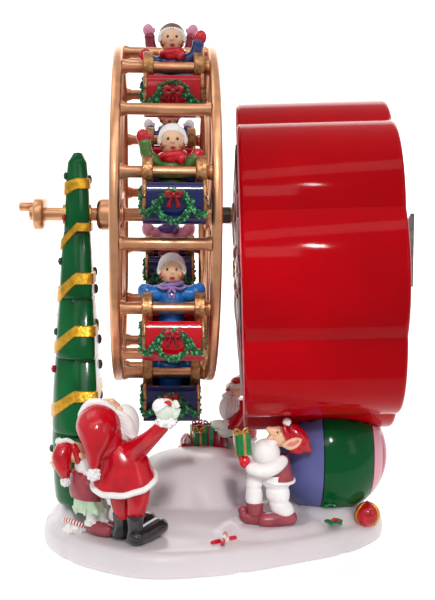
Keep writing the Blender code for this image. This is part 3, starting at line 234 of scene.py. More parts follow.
def mix_paints():
    """The plain paints, by name and screen colour."""
    paint("copper_gold", (224, 164, 122), rough=0.32, metal=0.9, mottle=0.12)
    grainy = dict(rough=0.34, metal=0.9, mottle=0.45, mottle_scale=420.0)
    paint("rough_gold", (180, 130, 88), bump=0.7, bump_scale=700.0, **grainy)
    paint("dark_steel", (96, 84, 78), rough=0.35, metal=0.9)
    worn = dict(rough=0.35, metal=0.9, mottle=0.3, mottle_scale=400.0)
    paint("key_grey", (150, 140, 132), bump=0.3, bump_scale=900.0, **worn)
    paint("machine_brass", (205, 170, 100), rough=0.3, metal=1.0, mottle=0.2, bump=0.15, bump_scale=1500.0)
    paint("machine_steel", (190, 190, 192), rough=0.3, metal=1.0, mottle=0.15, bump=0.15, bump_scale=1500.0)
    paint("gloss_red", (184, 0, 14), rough=0.08, mottle=0.08, mottle_scale=30.0, shine=0.09)
    # pale rose of the painted highlight along the housing's left edge
    paint("edge_highlight_rose", (225, 120, 130), rough=0.3, mottle=0.1)
    paint("deep_red", (120, 4, 24), rough=0.22, coat=0.5, bump=0.2)
    paint("petal_line", (236, 214, 216), rough=0.3)
    paint("leaf_silver", (150, 158, 154), rough=0.3, metal=0.6)
    paint("leaf_black", (46, 46, 44), rough=0.3)
    paint("tree_green", (0, 92, 44), rough=0.12, mottle=0.25, mottle_scale=50.0, shine=0.2)
    # dark green of the trunk, also used as painted shadow under the tree's tiers
    paint("tree_dark_and_shadow", (0, 58, 22), rough=0.16, coat=0.5, mottle=0.12, mottle_scale=60.0)
    paint("tree_side", (206, 196, 204), rough=0.25, coat=0.3)
    paint("ribbon_gold", (214, 160, 40), rough=0.28, metal=0.6, mottle=0.3, mottle_scale=300.0, bump=0.6)
    paint("bead_dark", (62, 72, 64), rough=0.2, coat=0.4)
    paint("bead_red", (196, 20, 48), rough=0.2, coat=0.4)
    paint(
        "snow", (216, 208, 211), rough=0.3, coat=0.15, mottle=0.02, mottle_scale=30.0, bump=0.06,
        bump_scale=60.0,
    )
    paint("felt", (30, 60, 40), rough=0.95, bump=0.4, bump_scale=2500.0)
    paint("coat_red", (190, 10, 30), rough=0.16, mottle=0.2, mottle_scale=120.0, shine=0.5)
    paint("fur_white", (240, 238, 236), rough=0.35, mottle=0.03, bump=0.25, bump_scale=420.0)
    paint("mint_white", (222, 232, 216), rough=0.3, mottle=0.08)
    paint("skin", (236, 190, 154), rough=0.3, mottle=0.08, mottle_scale=240.0)
    paint("skin_pink", (226, 130, 120), rough=0.3)
    paint("blush", (226, 152, 124), rough=0.3)
    paint("lip", (206, 62, 52), rough=0.3)
    paint("ink", (34, 22, 22), rough=0.25)
    paint("boot_black", (34, 32, 38), rough=0.22, coat=0.5, bump=0.15, bump_scale=300.0)
    paint("dusty_red", (152, 62, 72), rough=0.26, coat=0.3, mottle=0.22, bump=0.15, bump_scale=350.0)
    paint("pale_green", (190, 214, 184), rough=0.25, coat=0.2, mottle=0.1)
    paint("gift_green", (0, 118, 62), rough=0.18, coat=0.5)
    paint("gift_gold", (206, 160, 84), rough=0.3, metal=0.7)
    paint("wine", (126, 24, 44), rough=0.25, coat=0.3)
    paint("rose_wood", (196, 140, 144), rough=0.28, mottle=0.15)
    paint("candy_red", (206, 10, 34), rough=0.18, coat=0.4)
    paint("garland", (14, 84, 48), rough=0.35, mottle=0.5, mottle_scale=700.0, bump=0.9, bump_scale=900.0)
    paint("garland_light", (64, 158, 96), rough=0.35, mottle=0.4, mottle_scale=700.0)
    paint("sleigh_red", (186, 2, 24), rough=0.12, mottle=0.12, shine=0.4)
    paint("sleigh_navy", (22, 28, 84), rough=0.12, mottle=0.2, shine=0.45)
    paint("bow_red", (158, 6, 22), rough=0.2, coat=0.3, mottle=0.2, mottle_scale=400.0)
    paint("navy", (52, 66, 122), rough=0.25, coat=0.3, mottle=0.2, mottle_scale=400.0)
    paint("azure", (28, 112, 190), rough=0.22, coat=0.4, mottle=0.2, mottle_scale=400.0)
    paint("leaf_coat", (84, 128, 56), rough=0.25, coat=0.3, mottle=0.2, mottle_scale=400.0)
    paint("lavender", (150, 118, 178), rough=0.25, mottle=0.15)
    paint("violet", (92, 72, 150), rough=0.25, coat=0.3, mottle=0.15)
    paint("rose", (226, 150, 178), rough=0.25, coat=0.3)
    paint("maroon", (140, 30, 52), rough=0.25, coat=0.3, mottle=0.2)
    paint("brown", (120, 78, 62), rough=0.35, mottle=0.3, bump=0.5)
    paint("hair", (150, 84, 44), rough=0.35)


# Mesh building


def frame_along(direction, hint=Vector((0, 0, 1))):
    """Two directions square to the given one and to each other."""
    along = direction.normalized()
    side = hint.cross(along)
    if side.length < 1e-4:
        side = Vector((1, 0, 0)).cross(along)
    side.normalize()
    return side, along.cross(side)


def spline_row(near, t):
    """The row at share t between the middle two of four rows, on a Catmull-Rom curve."""
    row = []
    for a, b, c, d in zip(*near):
        start = 2 * b + (c - a) * t
        row.append(0.5 * (start + (2 * a - 5 * b + 4 * c - d) * t**2 + (3 * b - a - 3 * c + d) * t**3))
    return tuple(row)


def smooth_path(points, steps):
    """Points along a curve through the given ones; extra values, such as a radius, go along."""
    count = len(points)
    if steps <= 1 or count < 3:
        return [tuple(p) for p in points]
    out = []
    for i in range(count - 1):
        near = [points[max(0, min(count - 1, i + k))] for k in (-1, 0, 1, 2)]
        out += [spline_row(near, step / steps) for step in range(steps)]
    out.append(tuple(points[-1]))
    return out


def circle(count, phase=0.0):
    """Cosine and sine of evenly spaced angles; the phase is a share of one step."""
    angles = [2 * math.pi * (k + phase) / count for k in range(count)]
    return [(math.cos(angle), math.sin(angle)) for angle in angles]


def hoop(centre, radii, thick, count, lean=(0.0, 0.0), wobble=0.0):
    """Rows of a ring for a tube; a lean lifts its +x or +y side, and a wobble makes it uneven."""
    rows = []
    for k in range(count):
        angle = 2 * math.pi * k / count
        c, s = math.cos(angle), math.sin(angle)
        z = centre[2] + lean[0] * c + lean[1] * s + wobble * math.sin(9 * angle)
        rows.append((centre[0] + radii[0] * c, centre[1] + radii[1] * s, z, thick))
    return rows


def ring_faces(rings, count, closed=False):
    """Faces that join each ring of count points to the next one."""
    faces = []
    for ring in range(rings if closed else rings - 1):
        a, b = ring * count, (ring + 1) % rings * count
        faces += [(a + k, a + (k + 1) % count, b + (k + 1) % count, b + k) for k in range(count)]
    return faces


class Casting:
    """Collects painted forms, drawn in millimetres, into one object."""

    def __init__(self, name):
        self.name = name
        self.mesh = bmesh.new()
        self.paints = []

    def slot(self, paint_name):
        """Number of a paint's slot, made when it is first used."""
        if paint_name not in self.paints:
            self.paints.append(paint_name)
        return self.paints.index(paint_name)

    def take(self, verts, faces, paint_name):
        """Adds points and the faces between them."""
        made = [self.mesh.verts.new(v) for v in verts]
        index = self.slot(paint_name)
        for face in faces:
            new = self.mesh.faces.new([made[i] for i in face])
            new.material_index = index
            new.smooth = True

    def ball(self, paint_name, centre, radius, turn=None, sides=20, rings=12):
        radii = radius if isinstance(radius, (tuple, list)) else (radius, radius, radius)
        spin = turn or Matrix.Identity(3)
        centre = Vector(centre)
        verts = [centre + spin @ Vector((0, 0, radii[2]))]
        for ring in range(1, rings):
            down = math.pi * ring / rings
            for c, s in circle(sides):
                across = math.sin(down)
                local = Vector((radii[0] * across * c, radii[1] * across * s, radii[2] * math.cos(down)))
                verts.append(centre + spin @ local)
        verts.append(centre - spin @ Vector((0, 0, radii[2])))
        faces = []
        last = len(verts) - 1
        for side in range(sides):
            after = (side + 1) % sides
            faces.append((0, 1 + side, 1 + after))
            base = 1 + (rings - 2) * sides
            faces.append((last, base + after, base + side))
            for ring in range(rings - 2):
                a = 1 + ring * sides
                b = a + sides
                faces.append((a + side, b + side, b + after, a + after))
        self.take(verts, faces, paint_name)

    def skin(self, paint_name, rows, closed=False, caps=True):
        """Joins rings that have the same number of points, and caps the two ends."""
        count = len(rows[0])
        faces = ring_faces(len(rows), count, closed)
        if caps and not closed:
            top = (len(rows) - 1) * count
            faces.append(tuple(reversed(range(count))))
            faces.append(tuple(range(top, top + count)))
        self.take([Vector(p) for row in rows for p in row], faces, paint_name)

    def tube(self, paint_name, rows, sides=12, steps=4, loop=False, flat=1.0, hint=Vector((0, 0, 1))):
        """Sweeps a round or flattened section along rows of (x, y, z, radius), with rounded ends."""
        rows = list(rows)
        if not loop:
            rows = smooth_path(rows, steps)
        points = [Vector(row[:3]) for row in rows]
        count = len(points)
        sections = []
        for i, point in enumerate(points):
            if loop:
                along = points[(i + 1) % count] - points[i - 1]
            else:
                along = points[min(count - 1, i + 1)] - points[max(0, i - 1)]
            side, up = frame_along(along, hint)
            sections.append((point, side, up, rows[i][3], along.normalized()))
        if not loop:
            first, last = sections[0], sections[-1]
            for share, rise in ((0.75, 0.6), (0.4, 0.88)):
                p, s, u, r, a = first
                sections.insert(0, (p - a * r * rise * 0.8, s, u, r * share, a))
                p, s, u, r, a = last
                sections.append((p + a * r * rise * 0.8, s, u, r * share, a))
        rings = []
        for point, side, up, radius, _ in sections:
            rings.append([point + side * radius * c + up * radius * flat * s for c, s in circle(sides)])
        self.skin(paint_name, rings, closed=loop)

    def loft(self, paint_name, rings, sides=28, steps=4, wave=0.0, waves=9):
        """Skins rings of (x, y, z, radius x, radius y, lean x, lean y); a lean lifts the +x or +y side."""
        rings = [tuple(ring) + (0.0,) * (7 - len(ring)) for ring in rings]
        rows = []
        for level, (x, y, z, rx, ry, lean_x, lean_y) in enumerate(smooth_path(rings, steps)):
            row = []
            for k in range(sides):
                angle = 2 * math.pi * k / sides
                c, s = math.cos(angle), math.sin(angle)
                swell = 1 + wave * math.sin(waves * angle + 0.2 * level)
                row.append((x + rx * c * swell, y + ry * s * swell, z + lean_x * c + lean_y * s))
            rows.append(row)
        self.skin(paint_name, rows)

    def fluff(self, paint_name, centre, radius, seed=0):
        """A pompom or a fur cuff: a ball with smaller tufts on it."""
        radii = radius if isinstance(radius, (tuple, list)) else (radius, radius, radius)
        self.ball(paint_name, centre, tuple(r * 0.9 for r in radii), sides=18, rings=12)
        for k in range(22):
            down = math.acos(1 - 2 * (k + 0.5) / 22)
            round_ = 2.4 * k + seed
            across = math.sin(down)
            out = Vector((across * math.cos(round_), across * math.sin(round_), math.cos(down)))
            place = Vector(centre) + Vector((out.x * radii[0], out.y * radii[1], out.z * radii[2])) * 0.78
            self.ball(paint_name, place, 0.3 * sum(radii) / 3, sides=8, rings=6)

    def box(self, paint_name, size, centre, turn=None, round_off=0.0):
        """A block with its upright and level edges rounded off."""
        half = [s / 2 for s in size]
        r = min(round_off, *(h * 0.98 for h in half))
        spin = turn or Matrix.Identity(3)
        centre = Vector(centre)
        layers = [(-half[2], 0.0), (half[2], 0.0)]
        if r:
            layers = [(-half[2], r), (-half[2] + 0.3 * r, 0.3 * r), (-half[2] + r, 0.0)]
            layers += [(-z, inset) for z, inset in reversed(layers)]
        rows = []
        for z, inset in layers:
            x, y = half[0] - inset, half[1] - inset
            c = max(r - inset, 0.0)
            ring = [(x, y), (-x, y), (-x, -y), (x, -y)]
            if r:
                back = [(x, y - c), (x - 0.3 * c, y - 0.3 * c), (x - c, y)]
                back += [(-a, b) for a, b in reversed(back)]
                ring = back + [(-a, -b) for a, b in back]
            rows.append([centre + spin @ Vector((a, b, z)) for a, b in ring])
        self.skin(paint_name, rows)

    def turned(self, paint_name, profile, base, axis, sides=32, closed=False):
        """Turns (distance along the axis, radius) points about an axis."""
        along = Vector(axis).normalized()
        side, up = frame_along(along)
        base = Vector(base)
        rows = []
        for reach, radius in profile:
            rows.append([base + along * reach + (side * c + up * s) * radius for c, s in circle(sides)])
        self.skin(paint_name, rows, closed=closed)

    def done(self, body, replaced=(), sharp_deg=40, move=None):
        """Makes the object, rides it on its body and hides the imported parts it replaces."""
        bm = self.mesh
        if move:
            bmesh.ops.transform(bm, matrix=move, verts=bm.verts)
        bmesh.ops.scale(bm, vec=(MM, MM, MM), verts=bm.verts)
        bmesh.ops.recalc_face_normals(bm, faces=bm.faces)
        mesh = bpy.data.meshes.new(self.name)
        bm.to_mesh(mesh)
        bm.free()
        for name in self.paints:
            mesh.materials.append(PAINTS[name])
        mesh.set_sharp_from_angle(angle=math.radians(sharp_deg))
        made = bpy.data.objects.new(self.name, mesh)
        bpy.context.scene.collection.objects.link(made)
        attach(made, body)
        if replaced:
            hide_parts(*replaced)
        return made


def spin_y(angle_deg):
    """A turn about Y."""
    return Matrix.Rotation(math.radians(angle_deg), 3, "Y")


def spin_z(angle_deg):
    """A turn about Z."""
    return Matrix.Rotation(math.radians(angle_deg), 3, "Z")


# Wheel


def rung_place(index):
    """Y and z of a rung, counted from the first gondola's."""
    angle = math.radians(FIRST_RUNG_DEG + index * 360 / RUNG_COUNT)
    return -RUNG_CIRCLE * math.sin(angle), AXLE_Z + RUNG_CIRCLE * math.cos(angle)


def rim(side):
    """One gold ring with its hub and eight flat spokes."""
    piece = Casting("rim_left_ring" if side < 0 else "rim_right_ring")
    middle = (RIM_OUTER + RIM_INNER) / 2
    depth = (RIM_OUTER - RIM_INNER) / 2
    profile = []
    for c, s in circle(20):
        x = RIM_HALF * math.copysign(abs(c) ** 0.6, c)
        r = middle + depth * math.copysign(abs(s) ** 0.6, s)
        profile.append((x, r))
    piece.turned("copper_gold", profile, (side * RIM_MID_X, 0, AXLE_Z), (1, 0, 0), sides=128, closed=True)
    hub = [(23.4, 4.4), (23.4, 8.2), (24.2, 9.2), (28.6, 9.3), (29.4, 8.6), (29.4, 4.4)]
    piece.turned("copper_gold", hub, WHEEL_CENTRE, (side, 0, 0), sides=40, closed=True)
    for index in range(8):
        angle = math.radians(FIRST_RUNG_DEG + 22.5 + index * 45)
        out = Vector((0, -math.sin(angle), math.cos(angle)))
        start = Vector((side * RIM_MID_X, 0, AXLE_Z)) + out * 7.6
        end = Vector((side * RIM_MID_X, 0, AXLE_Z)) + out * (RIM_INNER + 1.0)
        spoke = [(*start, 2.5), (*end, 2.5)]
        piece.tube("copper_gold", spoke, sides=12, steps=1, flat=0.48, hint=Vector((1, 0, 0)))
    piece.done("wheel", ["rim_left" if side < 0 else "rim_right"])


def turned_part(name, node, profile, sides, place=WHEEL_CENTRE, way=1, closed=False):
    """A copper-gold piece of the wheel, turned about a line along X."""
    piece = Casting(name)
    piece.turned("copper_gold", profile, place, (way, 0, 0), sides=sides, closed=closed)
    piece.done("wheel", [node])


def collar_boss():
    """The stepped collar outside the left hub."""
    profile = [(29.5, 4.4), (29.5, 9.3), (36.6, 9.3), (38.4, 8.9), (39.5, 7.6), (40.0, 5.6), (40.0, 4.4)]
    turned_part("collar_boss", "hub_boss", profile, 40, way=-1, closed=True)


def rungs():
    """Sixteen bars between the rims, thicker at their ends."""
    end = 23.6
    profile = [
        (-end, 4.2), (-end + 1.6, 3.9), (-end + 3.2, 3.15), (end - 3.2, 3.15), (end - 1.6, 3.9), (end, 4.2),
    ]
    for index in range(RUNG_COUNT):
        number = f"{index + 1:02d}"
        turned_part(f"rung_bar_{number}", f"rung_{number}", profile, 24, (0, *rung_place(index)))


def crank_arm():
    """A flat arm with a round end at the axle and a smaller one at its pin."""
    piece = Casting("crank_arm_plate")
    reach = Vector(CRANK_REACH)
    outline = []
    for centre, radius, first, last in (((0.0, 0.0), 9.1, 101, 281), (reach, 6.0, -79, 101)):
        for k in range(15):
            angle = math.radians(first + (last - first) * k / 14)
            outline.append((centre[0] + radius * math.cos(angle), centre[1] + radius * math.sin(angle)))
    middle = Vector((reach.x / 2, reach.y / 2))
    rows = []
    for x, inset in ((-77.0, 1.2), (-76.6, 0.4), (-75.8, 0.0), (-72.2, 0.0), (-71.4, 0.4), (-71.0, 1.2)):
        row = []
        for point in outline:
            out = Vector(point) - middle
            out *= 1 - inset / out.length
            row.append((x, middle.x + out.x, AXLE_Z + middle.y + out.y))
        rows.append(row)
    for low, high in zip(rows, rows[1:]):
        piece.skin("copper_gold", (low, high), caps=False)
    for row in (rows[0], rows[-1]):
        piece.take([Vector(p) for p in row], [tuple(range(len(row)))], "copper_gold")
    bmesh.ops.remove_doubles(piece.mesh, verts=piece.mesh.verts, dist=0.01)
    piece.done("wheel", ["crank_arm"])


def shaft_and_crank():
    """The axle with its dark sleeve, and the crank at its left end."""
    shaft = [(-76.6, 3.4), (-76.2, 4.0), (-46.4, 4.0), (-45.6, 4.6), (-44.6, 4.8), (-43.2, 4.3), (-42.4, 4.0)]
    turned_part("axle_shaft", "axle", shaft + [(118.0, 4.0)], 28)
    sleeve = Casting("axle_sleeve")
    profile = [(29.9, 4.5), (29.9, 5.0), (39.2, 5.05), (39.2, 4.5)]
    sleeve.turned("dark_steel", profile, WHEEL_CENTRE, (1, 0, 0), sides=28, closed=True)
    sleeve.done("wheel", ["axle_spacer"])
    crank_arm()
    handle = [(-88.0, 1.9), (-87.7, 2.5), (-87.0, 2.8), (-80.0, 2.8), (-79.6, 2.5), (-77.0, 2.5)]
    pin_place = (0, CRANK_REACH[0], AXLE_Z + CRANK_REACH[1])
    turned_part("crank_handle", "crank_handle_pin", handle, 20, pin_place)
    screw = [(-79.7, 2.0), (-79.4, 3.4), (-78.6, 4.0), (-77.3, 4.1), (-77.0, 3.6)]
    turned_part("crank_cap_screw", "crank_screw", screw, 24)


# Gondolas

SLEIGH_X = 4.3
SLEIGH_HALF = 16.3
LOOP_HALF = 2.8

PLAIN = (0.0, 3.6, 2.3)
RIDERS = [
    # paints of coat, glove, scarf and hat; elbow x, z and hand x, z of the left and right arm, from the
    # rung, or of both alike; how far the rider is lifted, sleeve radius and collar radius
    ("navy", "candy_red", "candy_red", "brown", [(9.6, 3.6, 14.6, 7.4), (12.0, 7.4, 15.8, 17.6)], PLAIN),
    ("leaf_coat", "candy_red", "candy_red", "fur_white", [(12.4, 8, 15.4, 18.2), (9, 4.6, 12.8, 8.6)], PLAIN),
    ("azure", "azure", "lavender", "fur_white", [(9.8, 3.6, 14.6, 5), (9.8, 3.6, 14.6, 5.6)], (3.4, 4.6, 1.3)),
    ("azure", "navy", "navy", "navy", [(9.0, -1.0, 11.6, 6.2)], PLAIN),
    ("maroon", "mint_white", "fur_white", "candy_red", [(11.0, 7.4, 13.9, 16.4)], PLAIN),
    ("rose", "rose", "violet", "violet", [(11.0, 4.6, 14.8, 8.0)], (4.6, 5.0, 2.3)),
    ("violet", "fur_white", "leaf_silver", "brown", [(11.0, 3.4, 13.6, 10.6)], PLAIN),
    ("maroon", "rose", "navy", "maroon", [(11.2, 9.4, 13.6, 21.0)], PLAIN),
]


def sleigh_section():
    """The sleigh seen from its side, in (y, z) from the rung, running from front lip to back lip."""
    outer = [(-11.2, -6.4), (-12.8, -5.6), (-14.8, -5.8), (-16.4, -7.6), (-17.2, -11.5), (-17.2, -16.5)]
    outer += [(-15.8, -21.5), (-13.0, -25.0), (-9.0, -26.6), (6.0, -26.6), (11.5, -25.0), (14.2, -20.5)]
    outer += [(15.0, -13.0), (14.9, -5.0), (13.6, -2.6)]
    return outer


def sleigh_body(piece, colour):
    """The sleigh's curved shell with two side walls and a seat."""
    left, right = SLEIGH_X - SLEIGH_HALF + 2.6, SLEIGH_X + SLEIGH_HALF - 2.6
    outer = smooth_path(sleigh_section(), 3)
    centre = Vector((-1.0, -12.0))
    inner = []
    for y, z in outer:
        inward = centre - Vector((y, z))
        inward.normalize()
        inner.append((y + inward.x * 2.2, min(z + inward.y * 2.2, -5.0)))
    loop = outer + list(reversed(inner))
    count = len(loop)
    verts = [Vector((left, y, z)) for y, z in loop] + [Vector((right, y, z)) for y, z in loop]
    faces = [(k, (k + 1) % count, count + (k + 1) % count, count + k) for k in range(count)]
    half = len(outer)
    for k in range(half - 1):
        faces.append((k + 1, k, count - 1 - k, count - 2 - k))
        faces.append((count + k, count + k + 1, 2 * count - 2 - k, 2 * count - 1 - k))
    piece.take(verts, faces, colour)
    for x in (left - 1.2, right + 1.2):
        side = [(x - 1.2, y, z) for y, z in outer]
        piece.skin(colour, (side, [(x + 1.2, y, z) for _, y, z in side]))
    piece.box(colour, (right - left, 24.0, 6.0), (SLEIGH_X, -1.0, -18.0))


def sleigh_loops(piece):
    """Gold straps that hang the sleigh from its rung and run down its front corners."""
    for side in (-1, 1):
        x = SLEIGH_X + side * (SLEIGH_HALF - LOOP_HALF + 0.2)
        ring = [(math.cos(math.radians(a)), math.sin(math.radians(a))) for a in range(-50, 231, 14)]
        outer = [(8.0 * c, 8.5 * s) for c, s in ring]
        inner = [(3.7 * c, 3.7 * s) for c, s in ring]
        outer = [(9.2, -9.5)] + outer + [(-9.2, -9.5)]
        inner = [(3.4, -9.5)] + inner + [(-3.4, -9.5)]
        count = len(outer)
        low_x, high_x = x - LOOP_HALF, x + LOOP_HALF
        verts = []
        for px in (low_x + 0.5, high_x - 0.5):
            verts += [Vector((px, y, z)) for y, z in outer]
        for px in (low_x, high_x):
            verts += [Vector((px, y * 0.93, z * 0.93 if z > 0 else z)) for y, z in outer]
        for px in (low_x, high_x):
            verts += [Vector((px, y, z)) for y, z in inner]
        faces = []
        for k in range(count - 1):
            a, b = k, k + 1
            faces.append((a, b, count + b, count + a))
            faces.append((2 * count + a, 2 * count + b, b, a))
            faces.append((count + a, count + b, 3 * count + b, 3 * count + a))
            faces.append((2 * count + b, 2 * count + a, 4 * count + a, 4 * count + b))
            faces.append((3 * count + a, 3 * count + b, 5 * count + b, 5 * count + a))
            faces.append((4 * count + a, 5 * count + a, 5 * count + b, 4 * count + b))
        for end in (0, count - 1):
            faces.append(tuple(n * count + end for n in (0, 1, 3, 5, 4, 2)))
        piece.take(verts, faces, "rough_gold")
        edge = [(-9.0, -7.0), (-12.5, -5.2), (-15.8, -6.6), (-17.5, -11.0), (-17.4, -17.0), (-15.0, -23.0)]
        strap_x = SLEIGH_X + side * (SLEIGH_HALF - 1.2)
        rows = [(strap_x, y, z, 1.0) for y, z in edge]
        piece.tube("rough_gold", rows, sides=10, steps=4)


def tufted(piece, points, radius, every=1.1):
    """A bushy string of small two-tone leaves along a path."""
    path = smooth_path([tuple(p) for p in points], 8)
    travelled = every
    last = Vector(path[0])
    for point in path:
        here = Vector(point)
        travelled += (here - last).length
        last = here
        if travelled < every:
            continue
        travelled = 0.0
        piece.ball("garland", here, radius * 0.62, sides=6, rings=4)
        for k in range(6):
            jitter = noise.random_unit_vector() * radius * 0.78
            jitter.y -= radius * 0.25
            size = radius * (0.2 + 0.16 * noise.random())
            name = "garland_light" if k % 3 == 0 else "garland"
            piece.ball(name, here + jitter, (size, size * 0.7, size * 1.4), spin_y(50 * k), sides=5, rings=4)


def bow(piece, x, y, z, size):
    """A full bow of two loops, a knot and two broad tails."""
    for side in (-1, 1):
        loop = [
            (x + side * 0.5 * size, y, z, 0.9 * size),
            (x + side * 2.8 * size, y - 0.6, z + 1.9 * size, 1.5 * size),
            (x + side * 4.6 * size, y - 0.3, z + 0.3 * size, 1.7 * size),
            (x + side * 2.6 * size, y, z - 1.2 * size, 1.3 * size),
            (x + side * 0.5 * size, y, z - 0.4, 0.8 * size),
        ]
        piece.tube("bow_red", loop, sides=8, steps=3)
        tail = [
            (x + side * 0.9 * size, y + 0.2, z - 1.0 * size, 1.3 * size),
            (x + side * 2.2 * size, y + 0.6, z - 4.4 * size, 1.9 * size),
            (x + side * 2.8 * size, y + 1.4, z - 7.2 * size, 1.8 * size),
        ]
        piece.tube("bow_red", tail, sides=8, steps=3, flat=0.5)
    piece.ball("bow_red", (x, y - 0.9, z), 1.6 * size, sides=10, rings=8)


def sleigh_trim(piece, number):
    """Garlands that hang from the front corners, with a bow or a wreath in the middle."""
    noise.seed_set(number)
    x = SLEIGH_X - 0.6
    ringed = number % 2 == 0 or number == 3
    for side in (-1, 1):
        swag = [
            (x + side * (8.0 if ringed else 6.0), -18.4, -15.0),
            (x + side * 10.6, -18.4, -19.4),
            (x + side * 13.4, -17.2, -21.4),
            (x + side * 15.6, -15.0, -20.0),
        ]
        tufted(piece, swag, 2.2)
        corner = [
            (x + side * 15.8, -14.0, -19.4), (x + side * 16.0, -9.0, -15.0), (x + side * 15.8, -3.0, -10.0),
        ]
        corner.append((x + side * 15.6, 6.0, -8.6))
        tufted(piece, corner, 2.0)
    if ringed:
        wreath = []
        for k in range(17):
            angle = 2 * math.pi * k / 16
            wreath.append((x + 7.6 * math.sin(angle), -17.9, -17.4 + 7.2 * math.cos(angle)))
        tufted(piece, wreath, 2.0)
        bow(piece, x, -19.2, -11.8, 0.78)
    else:
        tufted(piece, [(x - 5, -18.4, -10.6), (x, -18.8, -9.6), (x + 5, -18.4, -10.6)], 1.3)
        for side in (-1, 1):
            drop = [
                (x + side * 6.4, -18.2, -12.0), (x + side * 8.6, -18.2, -19.0),
                (x + side * 7.4, -17.6, -23.0),
            ]
            tufted(piece, drop, 1.9)
        bow(piece, x, -19.0, -14.6, 1.05)


def rider_body(piece, x, y, coat, scarf, collar):
    """Torso and lap, with a knotted scarf, or a cape where the collar is thin."""
    piece.tube(
        coat, [(x, y, -16, 6.6), (x, y + 0.4, -4, 7.2), (x, y, 3.5, 7.4), (x, y - 0.8, 7.6, 5.2)], sides=18,
    )
    for side in (-1, 1):
        lap = [(x + side * 3.0, y - 2.0, -14.0, 3.0), (x + side * 3.4, -6.0, -12.2, 2.8)]
        lap.append((x + side * 3.4, -9.0, -15.0, 2.6))
        piece.tube(coat, lap, sides=10)
    piece.tube(scarf, hoop((x, y - 1.8, 8.8), (5.4, 5.0), collar, 12, (0.8, 0.0)), sides=10, loop=True)
    if collar > 2:
        piece.ball(scarf, (x + 1.0, y - 6.2, 7.6), (5.6, 2.4, 2.5), spin_y(-12), sides=14, rings=8)
        piece.ball(scarf, (x + 4.6, y - 7.0, 6.8), (2.2, 1.8, 2.6), spin_y(30), sides=12, rings=8)
        return
    for side in (-1, 1):
        cape = [(x + side * 1.0, y - 7.0, 7.6, 1.5), (x + side * 4.2, y - 6.4, 6.6, 1.9)]
        cape.append((x + side * 7.0, y - 4.6, 7.6, 1.4))
        piece.tube(scarf, cape, sides=10, flat=0.5)
        tie = [
            (x, y - 7.4, 7.4, 1.0), (x + side * 1.6, y - 7.8, 4.8, 0.9), (x + side * 1.0, y - 7.8, 1.8, 0.6),
        ]
        piece.tube(scarf, tie, sides=8)


def rider_head(piece, head, hat):
    """A round face with curls, under a hat whose brim is fur."""
    piece.ball("skin", head, (6.9, 6.4, 6.9), sides=24, rings=16)
    piece.ball("skin", head + Vector((0, -6.3, -0.5)), (1.2, 1.0, 0.9), sides=10, rings=8)
    piece.ball("lip", head + Vector((0.2, -5.4, -3.5)), (1.5, 0.8, 1.0), sides=14, rings=8)
    piece.ball("maroon", head + Vector((0.2, -5.9, -3.4)), (0.95, 0.5, 0.55), sides=12, rings=8)
    for side in (-1, 1):
        piece.ball("ink", head + Vector((side * 2.4, -5.9, 1.1)), (0.72, 0.45, 0.85), sides=10, rings=8)
        # painted glint: a white dot in each eye
        piece.ball("fur_white", head + Vector((side * 2.4 - 0.2, -6.3, 1.4)), 0.22, sides=6, rings=4)
        piece.ball("blush", head + Vector((side * 3.8, -4.5, -1.7)), (1.8, 1.0, 1.5), sides=12, rings=8)
        for drop in (0.0, 1.9, 3.6):
            curl = head + Vector((side * (6.1 - 0.2 * drop), -1.8 - 0.3 * drop, 0.6 - drop))
            piece.ball("hair", curl, (1.2, 1.7, 1.3), sides=8, rings=6)
    piece.ball(hat, head + Vector((0, 2.2, 2.4)), (7.3, 6.8, 7.2), sides=24, rings=14)
    for k in range(19):
        angle = math.radians(-14 + 208 * k / 18)
        place = head + Vector((6.7 * math.cos(angle), -2.2, 0.4 + 5.3 * math.sin(angle)))
        piece.ball("fur_white", place, (1.25, 1.9, 1.2), spin_y(40 * k), sides=8, rings=6)


def rider(piece, coat, glove, scarf, hat, arms, sleeve, collar):
    """A seated rider with both arms out or raised."""
    x, y = SLEIGH_X - 0.9, 9.6
    rider_body(piece, x, y, coat, scarf, collar)
    rider_head(piece, Vector((x, y - 2.4, 16.0)), hat)
    for side, (elbow_x, elbow_z, hand_x, hand_z) in ((-1, arms[0]), (1, arms[-1])):
        shoulder = Vector((x + side * 5.0, y, 4.2))
        elbow = Vector((x + side * elbow_x, y - 1.0, elbow_z))
        hand = Vector((x + side * hand_x, y - 1.8, hand_z))
        wrist = elbow.lerp(hand, 0.66)
        piece.tube(coat, [(*shoulder, sleeve), (*elbow, sleeve - 0.1), (*wrist, 0.86 * sleeve)], sides=14)
        piece.ball(coat, wrist, 0.94 * sleeve, sides=14, rings=8)
        piece.ball(glove, hand, (3.4, 2.6, 4.1), spin_y(side * 8), sides=16, rings=10)
        thumb = hand + Vector((-side * 2.9, -0.6, -0.4))
        piece.ball(glove, thumb, (1.3, 1.2, 2.2), spin_y(-side * 26), sides=10, rings=8)


def gondolas():
    """Eight sleighs with their riders, each on its own body."""
    for number, look in enumerate(RIDERS, 1):
        coat, glove, scarf, hat, arms, (lift, sleeve, collar) = look
        node = f"gondola_{number}"
        colour = "sleigh_navy" if number % 2 == 0 else "sleigh_red"
        move = Matrix.Translation((0, *rung_place(2 * (number - 1))))
        hull = Casting(f"sleigh_{number}")
        sleigh_body(hull, colour)
        sleigh_loops(hull)
        sleigh_trim(hull, number)
        hull.done(node, [node], move=move)
        child = Casting(f"rider_{number}")
        rider(child, coat, glove, scarf, hat, arms, sleeve, collar)
        bmesh.ops.translate(child.mesh, vec=(0.0, 0.0, lift), verts=child.mesh.verts)
        child.done(node, [node], sharp_deg=60, move=move)


# Housing and ball


